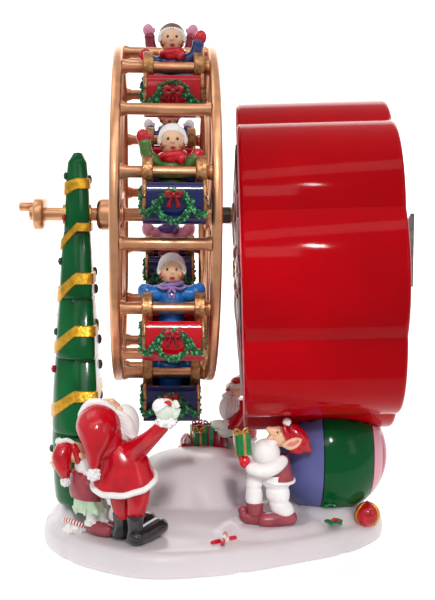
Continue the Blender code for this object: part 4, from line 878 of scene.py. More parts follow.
def lobe_outline(grow=0.0, steps=18):
    """The housing's flower outline in (y, z)."""
    crest, cusp = LOBE_CREST + grow, LOBE_CUSP + grow
    half = math.pi / LOBE_COUNT
    half_chord = cusp * math.sin(half)
    rise = crest - cusp * math.cos(half)
    radius = (half_chord**2 + rise**2) / (2 * rise)
    centre = crest - radius
    spread = math.asin(half_chord / radius)
    points = []
    for lobe in range(LOBE_COUNT):
        middle = math.pi / 2 + lobe * 2 * half
        for i in range(steps):
            angle = middle - spread + 2 * spread * i / steps
            y = centre * math.cos(middle) + radius * math.cos(angle)
            z = centre * math.sin(middle) + radius * math.sin(angle)
            points.append((y, HOUSING_Z + z))
    return points


def housing_tilt():
    """The turn and lean with which the housing stands, about its own centre."""
    centre = Matrix.Translation(((HOUSING_LEFT + HOUSING_RIGHT) / 2, 0.0, HOUSING_Z))
    turn = Matrix.Rotation(math.radians(HOUSING_TURN_DEG), 4, "Z")
    lean = Matrix.Rotation(math.radians(HOUSING_LEAN_DEG), 4, "Y")
    return centre @ turn @ lean @ centre.inverted()


def housing():
    """The hollow flower-shaped drum, and a rose line round its left edge that is a painted highlight on the
    rounded edge.
    """
    piece = Casting("housing_drum")
    left, right = HOUSING_LEFT, HOUSING_RIGHT
    layers = [(left, -2.2), (left + 0.3, -0.9), (left + 1.1, -0.2), (left + 2.2, 0.0)]
    layers += [(right - 2.8, 0.0), (right - 1.2, -0.4), (right - 0.3, -1.3), (right, -2.4)]
    layers += [(right, -HOUSING_WALL), (left + HOUSING_WALL, -HOUSING_WALL)]
    rows = [[(x, y, z) for y, z in lobe_outline(grow)] for x, grow in layers]
    for x in (left + HOUSING_WALL, left):
        ring = []
        for y, z in lobe_outline():
            out = Vector((y, z - AXLE_Z)).normalized() * 6.9
            ring.append((x, out.x, AXLE_Z + out.y))
        rows.append(ring)
    piece.skin("gloss_red", rows, closed=True)
    piece.done("base", ["housing_shell"], sharp_deg=32, move=housing_tilt())
    # painted highlight: a pale rose line along the rounded left edge, where it catches the light
    piece = Casting("housing_edge_highlight")
    edge = [(left - 0.1, y, z, 0.6) for y, z in lobe_outline(-1.9, 10)]
    piece.tube("edge_highlight_rose", edge, sides=6, loop=True)
    piece.done("base", sharp_deg=80, move=housing_tilt())


PETAL_SECTION = [(-1.0, 0.0), (-0.96, 0.55), (-0.5, 0.85), (0.0, 1.0), (0.5, 0.85), (0.96, 0.55), (1.0, 0.0)]


def petal(piece, paint_name, line, angle_deg, reach, width, foot, lift):
    """One pointed petal with a raised middle, on the housing's left face."""
    angle = math.radians(angle_deg)
    out = Vector((0, math.cos(angle), math.sin(angle)))
    across = Vector((0, -math.sin(angle), math.cos(angle)))
    middle = Vector((HOUSING_LEFT - 0.2, 0, HOUSING_Z))
    shape = [(0.0, 0.35), (0.2, 0.75), (0.42, 1.0), (0.65, 0.86), (0.85, 0.45), (1.0, 0.04)]
    shape = smooth_path(shape, 3)
    verts = []
    for share, half in shape:
        along = foot + (reach - foot) * share
        arch = lift * (0.55 + 0.45 * math.sin(math.pi * share))
        for side, height in PETAL_SECTION:
            point = middle + out * along + across * (side * half * width)
            verts.append(point + Vector((-arch * height, 0, 0)))
    rows = len(shape)
    faces = []
    for r in range(rows - 1):
        a, b = r * 7, (r + 1) * 7
        faces += [(a + k, a + k + 1, b + k + 1, b + k) for k in range(6)]
        faces.append((a + 6, a, b, b + 6))
    faces.append(tuple(range(7)))
    faces.append(tuple(reversed(range((rows - 1) * 7, rows * 7))))
    piece.take(verts, faces, paint_name)
    if line:
        for column, radius in ((1, 0.42), (5, 0.42), (3, 0.3)):
            path = [(*verts[r * 7 + column], radius) for r in range(rows)]
            piece.tube(line, path, sides=6, steps=1)


def flower():
    """A ring of leaves and two of petals round gold balls, and the collar round the axle."""
    piece = Casting("flower_relief")
    for k in range(8):
        leaf = "leaf_silver" if k % 2 else "leaf_black"
        petal(piece, leaf, "petal_line" if k % 2 else None, 22.5 + 45 * k, 78.0, 9.0, 30.0, 2.2)
    for k in range(8):
        petal(piece, "deep_red", "petal_line", 45 * k, 62.0, 13.5, 6.0, 3.3)
    for k in range(8):
        petal(piece, "gloss_red", "petal_line", 22.5 + 45 * k, 41.0, 9.0, 5.0, 4.1)
    for k in range(7):
        angle = math.radians(51 * k)
        place = (HOUSING_LEFT - 3.4, 4.2 * math.cos(angle), HOUSING_Z + 4.2 * math.sin(angle))
        piece.ball("ribbon_gold", place, 1.6, sides=10, rings=8)
    bmesh.ops.transform(piece.mesh, matrix=housing_tilt(), verts=piece.mesh.verts)
    collar = [(40.0, 6.0), (40.0, 7.2), (40.8, 8.0), (45.6, 8.2), (45.6, 6.0)]
    piece.turned("deep_red", collar, WHEEL_CENTRE, (1, 0, 0), sides=28, closed=True)
    piece.done("base", ["housing_flower_relief"], sharp_deg=50)


def ball_stripe_paint():
    """Vertical bands across X, drawn with a sharp ramp on the object's own coordinates."""
    made = bpy.data.materials.new("ball_bands")
    made.use_nodes = True
    nodes = made.node_tree.nodes
    links = made.node_tree.links
    shader = nodes["Principled BSDF"]
    shader.inputs["Roughness"].default_value = 0.12
    shader.inputs["Specular IOR Level"].default_value = 0.18
    where = nodes.new("ShaderNodeTexCoord")
    split = nodes.new("ShaderNodeSeparateXYZ")
    span = nodes.new("ShaderNodeMapRange")
    low = (BALL_CENTRE.x - BALL_RADIUS) * MM
    high = (BALL_CENTRE.x + BALL_RADIUS) * MM
    span.inputs["From Min"].default_value = low
    span.inputs["From Max"].default_value = high
    ramp = nodes.new("ShaderNodeValToRGB")
    ramp.color_ramp.interpolation = "CONSTANT"
    bands = [
        (0.0, (98, 102, 158)),
        (0.402, (14, 30, 34)),
        (0.413, (0, 82, 38)),
        (0.822, (70, 16, 24)),
        (0.834, (226, 162, 176)),
        (0.918, (180, 26, 44)),
        (0.975, (226, 162, 176)),
    ]
    elements = ramp.color_ramp.elements
    while len(elements) < len(bands):
        elements.new(0.5)
    for element, (place, colour) in zip(elements, bands):
        element.position = place
        element.color = (*linear(colour), 1.0)
    links.new(where.outputs["Object"], split.inputs["Vector"])
    links.new(split.outputs["X"], span.inputs["Value"])
    links.new(span.outputs["Result"], ramp.inputs["Fac"])
    links.new(ramp.outputs["Color"], shader.inputs["Base Color"])
    PAINTS["ball_bands"] = made


def housing_underside(y):
    """Height of the housing's lowest surface above a given Y."""
    best = None
    points = lobe_outline(0.3, 12)
    for (y0, z0), (y1, z1) in zip(points, points[1:] + points[:1]):
        if (y0 - y) * (y1 - y) <= 0 and y0 != y1:
            z = z0 + (z1 - z0) * (y - y0) / (y1 - y0)
            best = z if best is None else min(best, z)
    return best


def ball_pedestal():
    """The striped ball, flattened where the housing rests on it, and the little bauble."""
    piece = Casting("striped_ball")
    piece.ball("ball_bands", BALL_CENTRE, BALL_RADIUS, sides=64, rings=40)
    tilt = housing_tilt()
    level = tilt.inverted()
    for vert in piece.mesh.verts:
        place = level @ vert.co
        place.z = min(place.z, housing_underside(place.y))
        vert.co = tilt @ place
    piece.done("base", ["ball_pedestal"], sharp_deg=50)
    piece = Casting("little_bauble")
    piece.ball("coat_red", BAUBLE_CENTRE, BAUBLE_RADIUS, sides=28, rings=18)
    for start in (-40, 80, 200):
        band = []
        for k in range(9):
            angle = math.radians(20 + k * 17.5)
            around = math.radians(start + 4 * math.sin(k))
            across = math.sin(angle)
            out = Vector((across * math.cos(around), across * math.sin(around), math.cos(angle)))
            band.append((*(BAUBLE_CENTRE + out * (BAUBLE_RADIUS - 0.5)), 1.1))
        piece.tube("ribbon_gold", band, sides=8, steps=2)
    piece.done("base", ["small_bauble"], sharp_deg=60)


# Tree

TREE_SIDES = [
    # height, X of the left side and of the right side
    (228.4, -53.6, -48.4),
    (226.8, -55.4, -46.9),
    (223.5, -56.9, -45.9),
    (217.0, -57.9, -45.0),
    (192.0, -58.4, -44.0),
    (175.0, -60.4, -43.0),
    (155.0, -61.4, -42.1),
    (126.0, -63.3, -40.5),
    (92.0, -65.3, -38.8),
    (60.0, -66.3, -37.4),
    (42.0, -65.4, -36.9),
    (25.7, -64.0, -36.6),
]
TREE_LEDGES = [228.4, 182.0, 143.5, 109.0, 66.0, 25.7]
TREE_HALF_DEPTHS = [13.0, 20.5, 28.0, 35.0, 41.0]
TREE_RIBBONS = [
    # height in front, droop at the left, width
    (210.5, 3.0, 6.8),
    (185.2, 10.5, 5.4),
    (155.5, 10.5, 7.2),
    (125.5, 11.0, 6.6),
    (88.4, 11.0, 6.8),
    (55.0, 8.0, 6.2),
]
LEFT_BEADS = [
    # height, share of the half depth, paint
    (215.0, -0.3, "bead_dark"),
    (190.6, -0.5, "bead_red"),
    (165.0, -0.4, "bead_dark"),
    (123.6, -0.3, "bead_dark"),
    (102.0, -0.4, "bead_red"),
    (54.6, -0.3, "bead_dark"),
    (148.0, 0.2, "bead_red"),
    (80.0, 0.3, "bead_dark"),
    (132.0, 0.5, "bead_red"),
]
RIGHT_BEADS = [(213.0, 0.5), (158.0, 0.8), (147.6, 0.7), (116.0, 0.85), (101.0, 0.7), (128.0, -0.1)]
RIGHT_BEADS += [(84.0, 0.2), (48.0, 0.5)]


def between(rows, z, column):
    """Reads a table that runs downwards in z."""
    for high, low in zip(rows, rows[1:]):
        if z >= low[0]:
            share = min(1.0, (high[0] - z) / (high[0] - low[0]))
            return high[column] + (low[column] - high[column]) * share
    return rows[-1][column]


def tree_half(z, tier):
    """Half depth of one tier at a height, which widens downwards."""
    top, low = TREE_LEDGES[tier], TREE_LEDGES[tier + 1]
    wide = TREE_HALF_DEPTHS[tier]
    narrow = 0.8 * TREE_HALF_DEPTHS[tier - 1] if tier else 3.6
    share = (top - z) / (top - low)
    return narrow + (wide - narrow) * share ** 0.9 if share > 0 else narrow


def tree_ring(z, tier, grow=0.0, side_grow=0.0):
    """The rounded section of the flat tree at a height, counted from its front left corner."""
    left = between(TREE_SIDES, z, 1) - side_grow
    right = between(TREE_SIDES, z, 2) + side_grow
    width = right - left
    half = tree_half(z, tier) + grow
    shoulder = 0.55 * (0.85 * half + 0.15 * TREE_HALF_DEPTHS[tier])
    corners = [
        (left + 0.46 * width, -half),
        (right - 1.2, -half),
        (right, -half + 2.6),
        (right, half - 2.6),
        (right - 1.2, half),
        (left + 0.46 * width, half),
        (left, shoulder),
        (left, -shoulder),
    ]
    for _ in range(2):
        cut = []
        for (x0, y0), (x1, y1) in zip(corners, corners[1:] + corners[:1]):
            cut.append((0.78 * x0 + 0.22 * x1, 0.78 * y0 + 0.22 * y1))
            cut.append((0.22 * x0 + 0.78 * x1, 0.22 * y0 + 0.78 * y1))
        corners = cut
    return [(x, y, z) for x, y in corners]


def tree():
    """The flat tree of five tiers with a pale right side, and its trunk."""
    piece = Casting("tree_tiers")
    marks = [(0.0, 0.0, 0.0), (0.12, 0.2, 0.0), (0.4, 0.5, 0.2), (0.72, 0.4, 0.2), (0.9, 0.1, 0.1)]
    marks += [(0.95, -0.3, 0.0), (0.985, -1.4, -0.2), (1.0, -3.0, -0.3)]
    rows = []
    for tier in range(len(TREE_HALF_DEPTHS)):
        top, low = TREE_LEDGES[tier], TREE_LEDGES[tier + 1]
        for share, grow, side_grow in marks:
            rows.append(tree_ring(top - (top - low) * share, tier, grow, side_grow))
    rows.insert(0, [(x * 0.4 - 51.0 * 0.6, y * 0.4, z + 0.5) for x, y, z in rows[0]])
    count = len(rows[0])
    verts = [Vector(p) for row in rows for p in row]
    green, side = [tuple(range(count))], []
    for level in range(len(rows) - 1):
        a, b = level * count, (level + 1) * count
        for k in range(count):
            face = (a + k, a + (k + 1) % count, b + (k + 1) % count, b + k)
            (side if k in (7, 8, 9) and level > 10 else green).append(face)
    green.append(tuple(reversed(range((len(rows) - 1) * count, len(rows) * count))))
    piece.take(verts, green + side, "tree_green")
    pale = piece.slot("tree_side")
    for face in list(piece.mesh.faces)[len(green):]:
        face.material_index = pale
    piece.box("tree_dark_and_shadow", (15.0, 24.0, 14.0), (-51.5, 0, 22.0), round_off=1.0)
    piece.done("base", ["tree_post"], sharp_deg=62)


def tier_at(z):
    """Number of the tier at a height, counted from the top."""
    last = len(TREE_HALF_DEPTHS) - 1
    return next(i for i in range(last + 1) if z >= TREE_LEDGES[i + 1] or i == last)


def tree_ribbons():
    """Flat gold ribbons round the tree, level in front and drooping on the left."""
    piece = Casting("tree_ribbon")
    for front_z, droop, width in TREE_RIBBONS:
        start = tree_ring(front_z, 0)
        low_x = min(x for x, _, _ in start)
        turn_x = low_x + 0.5 * (max(x for x, _, _ in start) - low_x)
        rows = []
        for level, out in ((0.5, -0.3), (0.42, 0.9), (-0.42, 0.9), (-0.5, -0.3)):
            row = []
            for k, (x, _, _) in enumerate(start):
                fall = max(0.0, min(1.0, (turn_x - x) / (turn_x - low_x)))
                z = front_z - droop * fall + level * width * (1.0 + 0.25 * fall)
                row.append(tree_ring(z, tier_at(z), 0.5 + out, 0.2 + out)[k])
            rows.append(row)
        piece.skin("ribbon_gold", rows, closed=True)
    piece.done("base", ["tree_post"], sharp_deg=40)


def tree_painted_shadows():
    """Painted shadows under the tiers: dark blocks near the front right edge, where the overhangs' shade
    falls.
    """
    piece = Casting("tree_painted_shadows")
    for tier in range(4):
        z = TREE_LEDGES[tier + 1]
        right = between(TREE_SIDES, z, 2)
        front = -0.8 * TREE_HALF_DEPTHS[tier]
        # painted shadow: dark blocks just under each tier's overhang, where its shade falls
        piece.box("tree_dark_and_shadow", (11.0, 3.4, 4.2), (right - 6.6, front + 0.9, z - 0.4), round_off=1.6)
        piece.box("tree_dark_and_shadow", (6.0, 3.0, 3.0), (right - 8.2, front + 0.9, z - 3.4), spin_y(12), 1.4)
    piece.done("base", sharp_deg=60)


def tree_beads():
    """Small beads on the tree's left and right sides."""
    piece = Casting("tree_beads")
    beads = [(*bead, 1, -0.2, (1.4, 2.2, 2.3)) for bead in LEFT_BEADS]
    beads += [(*bead, "bead_dark", 2, 0.4, (1.5, 2.5, 3.0)) for bead in RIGHT_BEADS]
    for z, along, name, column, out, radii in beads:
        place = (between(TREE_SIDES, z, column) + out, along * tree_half(z, tier_at(z)), z)
        piece.ball(name, place, radii, sides=14, rings=10)
    piece.done("base", sharp_deg=60)


# Snow base

FRONT_OUTLINE = [
    (-71, 0), (-66, -34), (-46, -64), (-16, -86), (20, -87), (62, -70), (92, -54), (117, -34), (134, 0),
]
BANKS = [
    # radii in x and y and height, then the middle
    ((46, 27, 36), (22, 44)),
    ((46, 30, 32), (34, 57)),
    ((21, 46, 19), (-55, 2)),
    ((34, 40, 19.5), (97, -3)),
    ((35, 27, 14.5), (62, -39)),
]
RIDGE_FROM_Y = 20
# Heights of the ground below the front figures and the right helper, and of the snow at its highest there
GROUND = 13.6
HELPER_GROUND = 17.2
HELPER_SNOW = 17.6
# Top of the level shelf behind the ridge
SHELF = 27.2
BASE_MIDDLE = Vector((20.0, 0.0))
TOP_SHARES = [0.985, 0.96, 0.925, 0.885, 0.84, 0.79, 0.735, 0.68, 0.62]
TOP_SHARES += [0.56, 0.5, 0.44, 0.38, 0.32, 0.26, 0.2, 0.14, 0.08]
CREASES = [(-53.0, -53.0), (-71.0, -8.0), (104.0, -45.0), (42.0, -80.0), (-30.0, 76.0), (60.0, 72.0)]


def base_outline(steps=10):
    """The lobed outline of the base, the same in front and behind."""
    loop = FRONT_OUTLINE + [(x, -y) for x, y in reversed(FRONT_OUTLINE[1:-1])]
    count = len(loop)
    out = []
    for i in range(count):
        near = [loop[(i + k) % count] for k in (-1, 0, 1, 2)]
        out += [spline_row(near, step / steps) for step in range(steps)]
    return out


def snow_height(x, y):
    """Top of the snow, with banks that run softly into the flat part, and level places to stand on."""
    levels = [14.0 + 0.7 * noise.noise(Vector((x * 0.05, y * 0.05, 0.0)))]
    for (radius_x, radius_y, height), (bank_x, bank_y) in BANKS:
        front = y < bank_y and bank_y > RIDGE_FROM_Y
        depth = radius_y * (1.75 if front else 1.0)
        rho = ((x - bank_x) / radius_x) ** 2 + ((y - bank_y) / depth) ** 2
        if rho < 1:
            levels.append(7.0 + height * (1 - rho**1.5) ** (0.5 + 0.5 * front * rho))
    soft = 1.6
    top = max(levels)
    blended = top + soft * math.log(sum(math.exp((level - top) / soft) for level in levels))
    if 2 < x < 68 and y > 56:
        blended = min(blended, SHELF)
    elif 0 < x < 70 and y > 52:
        blended = min(blended, SHELF + max(0.0, (56 - y)) * 4.0 + max(0.0, 2 - x, x - 68) * 4.0)
    if 42 < x < 82 and -60 < y < -18:
        blended = min(blended, HELPER_SNOW)
    return blended


def base_edge_ring(outline, z, inset):
    """The uneven edge of the base at one height, pressed in at its creases."""
    count = len(outline)
    row = []
    for k, point in enumerate(outline):
        out = Vector(point) - BASE_MIDDLE
        wave = 0.9 * math.sin(2 * math.pi * k * 11 / count)
        wave += 0.6 * math.sin(2 * math.pi * k * 7 / count + 1.0)
        gaps = [(Vector(point) - Vector(crease)).length / 2.6 for crease in CREASES]
        wave -= sum(4.2 * math.exp(-(gap**2)) for gap in gaps)
        length = out.length + inset - 0.9 + 0.5 * wave
        row.append(Vector((*(BASE_MIDDLE + out.normalized() * length), z)))
    return row


def snow_base():
    """The snow plate from its edge to the middle of its top."""
    piece = Casting("snow_plate")
    outline = base_outline()
    edge = [(0.0, -2.2), (0.4, -0.5), (3.0, 0.3), (8.0, 0.2), (11.4, -0.7), (13.0, -2.5), (GROUND, -5.0)]
    rows = [base_edge_ring(outline, z, inset) for z, inset in edge]
    last = rows[-1]
    for share in TOP_SHARES:
        row = []
        for p in last:
            x = BASE_MIDDLE.x + (p.x - BASE_MIDDLE.x) * share
            y = BASE_MIDDLE.y + (p.y - BASE_MIDDLE.y) * share
            z = snow_height(x, y)
            if share > 0.93:
                z = GROUND + (z - GROUND) * (1 - share) / 0.07 * 0.9
            row.append(Vector((x, y, z)))
        rows.append(row)
    count = len(outline)
    verts = [v for row in rows for v in row]
    verts.append(Vector((*BASE_MIDDLE, snow_height(*BASE_MIDDLE))))
    top = (len(rows) - 1) * count
    faces = ring_faces(len(rows), count)
    faces += [(top + k, top + (k + 1) % count, len(verts) - 1) for k in range(count)]
    faces.append(tuple(reversed(range(count))))
    piece.take(verts, faces, "snow")
    piece.done("base", ["snow_base"], sharp_deg=60)


def red_tipped_stick(piece, start, end, radius):
    """A short white stick of rock with red ends."""
    start, end = Vector(start), Vector(end)
    bands = ((0.0, 0.34, "candy_red"), (0.34, 0.68, "fur_white"), (0.68, 1.0, "candy_red"))
    for low, high, paint_name in bands:
        swell = ((low, 1.0), ((low + high) / 2, 1.15), (high, 1.0))
        piece.tube(paint_name, [(*start.lerp(end, at), radius * wide) for at, wide in swell], sides=12)


def cane(piece, points, radius):
    """A striped stick of rock, bent at one end."""
    path = smooth_path([tuple(p) for p in points], 5)
    for index, (start, end) in enumerate(zip(path, path[1:])):
        piece.tube(
            "candy_red" if index % 2 else "fur_white", [(*start, radius), (*end, radius)], sides=10, steps=1,
        )


def holly_leaf(piece, centre, angle_deg):
    """A thin leaf with a notched edge and a raised middle."""
    angle = math.radians(angle_deg)
    out = Vector((math.cos(angle), math.sin(angle), 0.12))
    across = Vector((-math.sin(angle), math.cos(angle), 0))
    reach = 4.0 + 2.4 * abs(math.sin(angle))
    count = 9
    top = []
    for k in range(count):
        share = k / (count - 1)
        half = 2.1 * math.sin(math.pi * min(share * 0.9 + 0.06, 1.0)) * (1.15 if k % 2 else 0.72)
        arch = Vector((0, 0, 1.2 * math.sin(math.pi * share)))
        spine = centre + out * (1.0 + reach * share) + arch
        top += [spine - across * half, spine + Vector((0, 0, 0.5)), spine + across * half]
    verts = top + [v + Vector((0, 0, -0.7)) for v in top]
    base = 3 * count
    faces = []
    for k in range(count - 1):
        a, b = 3 * k, 3 * (k + 1)
        faces += [(a + j, a + j + 1, b + j + 1, b + j) for j in (0, 1)]
        faces += [(base + b + j, base + b + j + 1, base + a + j + 1, base + a + j) for j in (0, 1)]
        faces += [(a, b, base + b, base + a), (b + 2, a + 2, base + a + 2, base + b + 2)]
    end = 3 * (count - 1)
    faces.append((0, base, base + 1, base + 2, 2, 1))
    faces.append((end, end + 1, end + 2, base + end + 2, base + end + 1, base + end))
    piece.take(verts, faces, "gift_green")


def snow_ornaments():
    """Sticks of rock and a bent cane on the snow, and two sprigs of holly."""
    piece = Casting("snow_sweets")
    red_tipped_stick(piece, (26.2, -69.6, 14.6), (39.4, -60.0, 14.6), 1.2)
    red_tipped_stick(piece, (31.6, -74.0, 15.6), (34.4, -55.0, 15.6), 1.2)
    piece.fluff("fur_white", (-50.0, -44.0, 15.4), (7.6, 3.6, 3.6), 7)
    bend = [
        (-56.4, -41, 20.0), (-53, -43.6, 20.2), (-49.4, -45.8, 19.6), (-46, -46.4, 18.4), (-44, -45.4, 17.4),
    ]
    cane(piece, bend, 1.3)
    piece.done("base", sharp_deg=50)
    leaves = Casting("holly_sprig")
    for x, y in ((96.0, -28.0), (97.6, -40.0)):
        centre = Vector((x, y, snow_height(x, y) + 0.5))
        for angle_deg in (20, 75, 110, 165, 250, 300):
            holly_leaf(leaves, centre, angle_deg)
        for offset in ((0, 0, 1.4), (2.2, -0.6, 1.4), (0.6, 2.0, 1.4)):
            leaves.ball("candy_red", centre + Vector(offset), 1.2, sides=14, rings=10)
    leaves.done("base", sharp_deg=40)


# Figures


def stand_on(piece, z):
    """Flattens whatever would sink below the ground at height z."""
    for vert in piece.mesh.verts:
        vert.co.z = max(vert.co.z, z)


def fringe(piece, paint_name, count, centre, radii, drop, thick, phase=0.0):
    """Small pointed tags round an edge."""
    for c, s in circle(count, phase):
        tip = Vector((centre[0] + radii[0] * c, centre[1] + radii[1] * s, centre[2]))
        piece.tube(paint_name, [(*tip, thick[0]), (*(tip + Vector(drop)), thick[1])], sides=8)


def beard_locks(piece, paint_name, top, bottom, spread, radius, count=7, bulge=3.0):
    """Long wavy locks fanned from the chin to the beard's end."""
    top, bottom = Vector(top), Vector(bottom)
    along = bottom - top
    side = Vector((0, 1, 0)).cross(along).normalized()
    for k in range(count):
        share = 2 * k / (count - 1) - 1
        out = Vector((0, -1, 0)) * bulge * math.cos(share * 1.3)
        rows = [
            (*(top + side * share * spread * 0.55 + out * 0.4), radius * 0.7),
            (*(top + along * 0.4 + side * share * spread + out), radius),
            (*(top + along * 0.75 + side * share * spread * 0.8 + out * 0.9), radius * 0.9),
            (*(bottom + side * share * spread * 0.35 + out * 0.4), radius * 0.45),
        ]
        piece.tube(paint_name, rows, sides=8)


def waving_figure():
    """The tall figure in front, who looks up at the wheel with one mitten raised."""
    piece = Casting("tall_figure_front")
    for heel, toe in (((-25.5, -59.5), (-9.0, -39.5)), ((-15.5, -72.0), (-2.6, -51.5))):
        rows = [
            (heel[0], heel[1], 18.2, 4.6),
            (0.6 * heel[0] + 0.4 * toe[0], 0.6 * heel[1] + 0.4 * toe[1], 18.4, 5.4),
            (toe[0], toe[1], 19.4, 5.8),
        ]
        piece.tube("boot_black", rows, sides=18, flat=0.85)
    for x, y in ((-23.6, -60.0), (-15.8, -68.0)):
        shaft = [(x, y, 17, 5.0, 5.4), (x, y, 22, 4.2, 4.4), (x, y, 28, 4.8, 5.0), (x, y, 29.6, 4.6, 4.8)]
        piece.loft("boot_black", shaft)
    stand_on(piece, GROUND)
    for x, y, low in ((-23.6, -60.4, -22.8), (-14.6, -65.5, -15.6)):
        legs = [
            (low, y - 0.6, 26.5, 4.3, 4.4), (low, y, 29, 5.0, 5.0), (x, y, 36, 6.0, 6.2),
            (x, y, 46, 7.2, 7.0),
        ]
        piece.loft("coat_red", legs, wave=0.02, waves=5)
    coat = [
        (-22.0, -62.0, 47.6, 17.2, 14.0, 2.0, 4.6),
        (-21.8, -62.0, 50.4, 16.2, 13.4, 1.4, 3.6),
        (-21.4, -62.0, 55.0, 14.0, 12.0, 1.0, 2.4),
        (-21.6, -62.0, 60.5, 12.2, 10.6, 0.6, 1.6),
        (-24.0, -61.5, 66.0, 9.4, 8.6, 0.0, 1.0),
        (-28.0, -60.5, 71.0, 5.6, 6.0),
    ]
    piece.loft("coat_red", coat, sides=40, wave=0.012, waves=7)
    hem = hoop((-22.0, -62.0, 47.4), (17.0, 14.0), 1.75, 36, (2.0, 4.6), wobble=0.25)
    piece.tube("fur_white", hem, sides=10, loop=True)
    arm = [
        (-21.0, -63.0, 61.0, 7.6),
        (-15.5, -66.5, 65.6, 6.4),
        (-9.6, -73.5, 71.6, 4.9),
        (-4.4, -79.0, 77.6, 4.1),
        (-1.4, -81.6, 81.4, 3.9),
    ]
    piece.tube("coat_red", arm, sides=20, steps=5)
    piece.tube(
        "coat_red", [(-33.0, -58.0, 60.0, 5.0), (-37.5, -52.0, 55.5, 4.6), (-37.0, -47.0, 50.0, 4.0)],
        sides=16,
    )
    piece.fluff("fur_white", (-37.0, -46.4, 48.4), (4.4, 4.4, 3.0), 1)
    piece.fluff("fur_white", (0.6, -82.2, 83.8), (6.2, 5.2, 3.7), 2)
    piece.ball("mint_white", (0.2, -83.6, 90.6), (5.7, 4.7, 6.0), spin_y(12), sides=26, rings=18)
    piece.tube(
        "mint_white", [(5.0, -83.6, 87.0, 2.0), (6.4, -84.0, 91.0, 2.0), (5.4, -84.2, 94.6, 1.6)], sides=12,
    )
    piece.ball("fur_white", (-2.4, -86.0, 93.0), (4.4, 3.0, 4.0), spin_y(-30), sides=20, rings=14)
    piece.tube(
        "fur_white", [(-4.6, -87.6, 90.8, 1.2), (-1.8, -88.4, 92.6, 1.3), (1.4, -88.2, 95.4, 1.3)], sides=10,
    )
    piece.tube(
        "candy_red", [(0.2, -88.6, 95.0, 0.9), (1.8, -88.8, 95.2, 1.2), (2.9, -88.2, 93.8, 0.8)], sides=10,
    )
    waving_head(piece)
    piece.done("base", ["santa_front"], sharp_deg=60)


def waving_head(piece):
    """The tall figure's face turned up, with its beard and its hood."""
    piece.ball("skin", (-31.6, -53.5, 81.4), (9.6, 9.6, 10.2), sides=26, rings=18)
    piece.ball("skin", (-28.9, -56.5, 90.0), (2.3, 2.3, 2.3), sides=14, rings=10)
    piece.ball("skin", (-24.6, -58.6, 84.6), (3.2, 2.6, 3.2), sides=14, rings=10)
    piece.ball("fur_white", (-22.4, -54.5, 76.0), (8.6, 9.6, 12.6), spin_y(8), sides=28, rings=18)
    for k in range(6):
        lift = 5.0 - 2.1 * k
        lock = [
            (-26.0 + 0.7 * k, -63.2 + 0.2 * k, 85.6 - 2.0 * k, 1.5),
            (-20.6 + 0.6 * k, -63.0, 82.0 - 1.9 * k + 0.1 * lift, 1.9),
            (-17.2 + 0.25 * k, -59.6, 75.6 - 1.2 * k, 1.7),
            (-19.4 - 0.2 * k, -60.0, 67.4 - 0.6 * k, 1.1),
        ]
        piece.tube("fur_white", lock, sides=10)
    trim = [
        (-44.8, 84.6), (-42.8, 88.2), (-39.9, 90.6), (-35.6, 91.0), (-31.8, 89.4), (-28.3, 86.6),
        (-25.6, 82.6),
    ]
    trim += [
        (-23.6, 78.4), (-22.8, 73.6), (-23.4, 68.2), (-26.0, 63.8), (-31.0, 61.8), (-37.0, 63.6),
        (-41.6, 68.4),
    ]
    trim += [(-44.2, 74.4), (-45.2, 80.2)]
    ring = smooth_path([(x, -61.0 - 0.12 * (z - 76), z, 2.3) for x, z in trim + trim[:1]], 3)[:-1]
    piece.tube("fur_white", ring, sides=12, loop=True)
    hood = [
        (-35.2, -57.0, 77.8, 11.8),
        (-36.0, -63.0, 78.0, 12.3),
        (-36.6, -68.6, 75.4, 10.8),
        (-37.2, -72.0, 69.0, 7.2),
        (-37.6, -73.2, 62.4, 4.0),
        (-37.7, -73.4, 58.4, 2.8),
    ]
    piece.tube("coat_red", hood, sides=28, steps=5)
    piece.ball("coat_red", (-31.8, -65.0, 70.6), (8.6, 7.2, 11.4), spin_y(16), sides=26, rings=18)
    piece.fluff("fur_white", (-38.0, -73.6, 53.8), 3.9, 3)


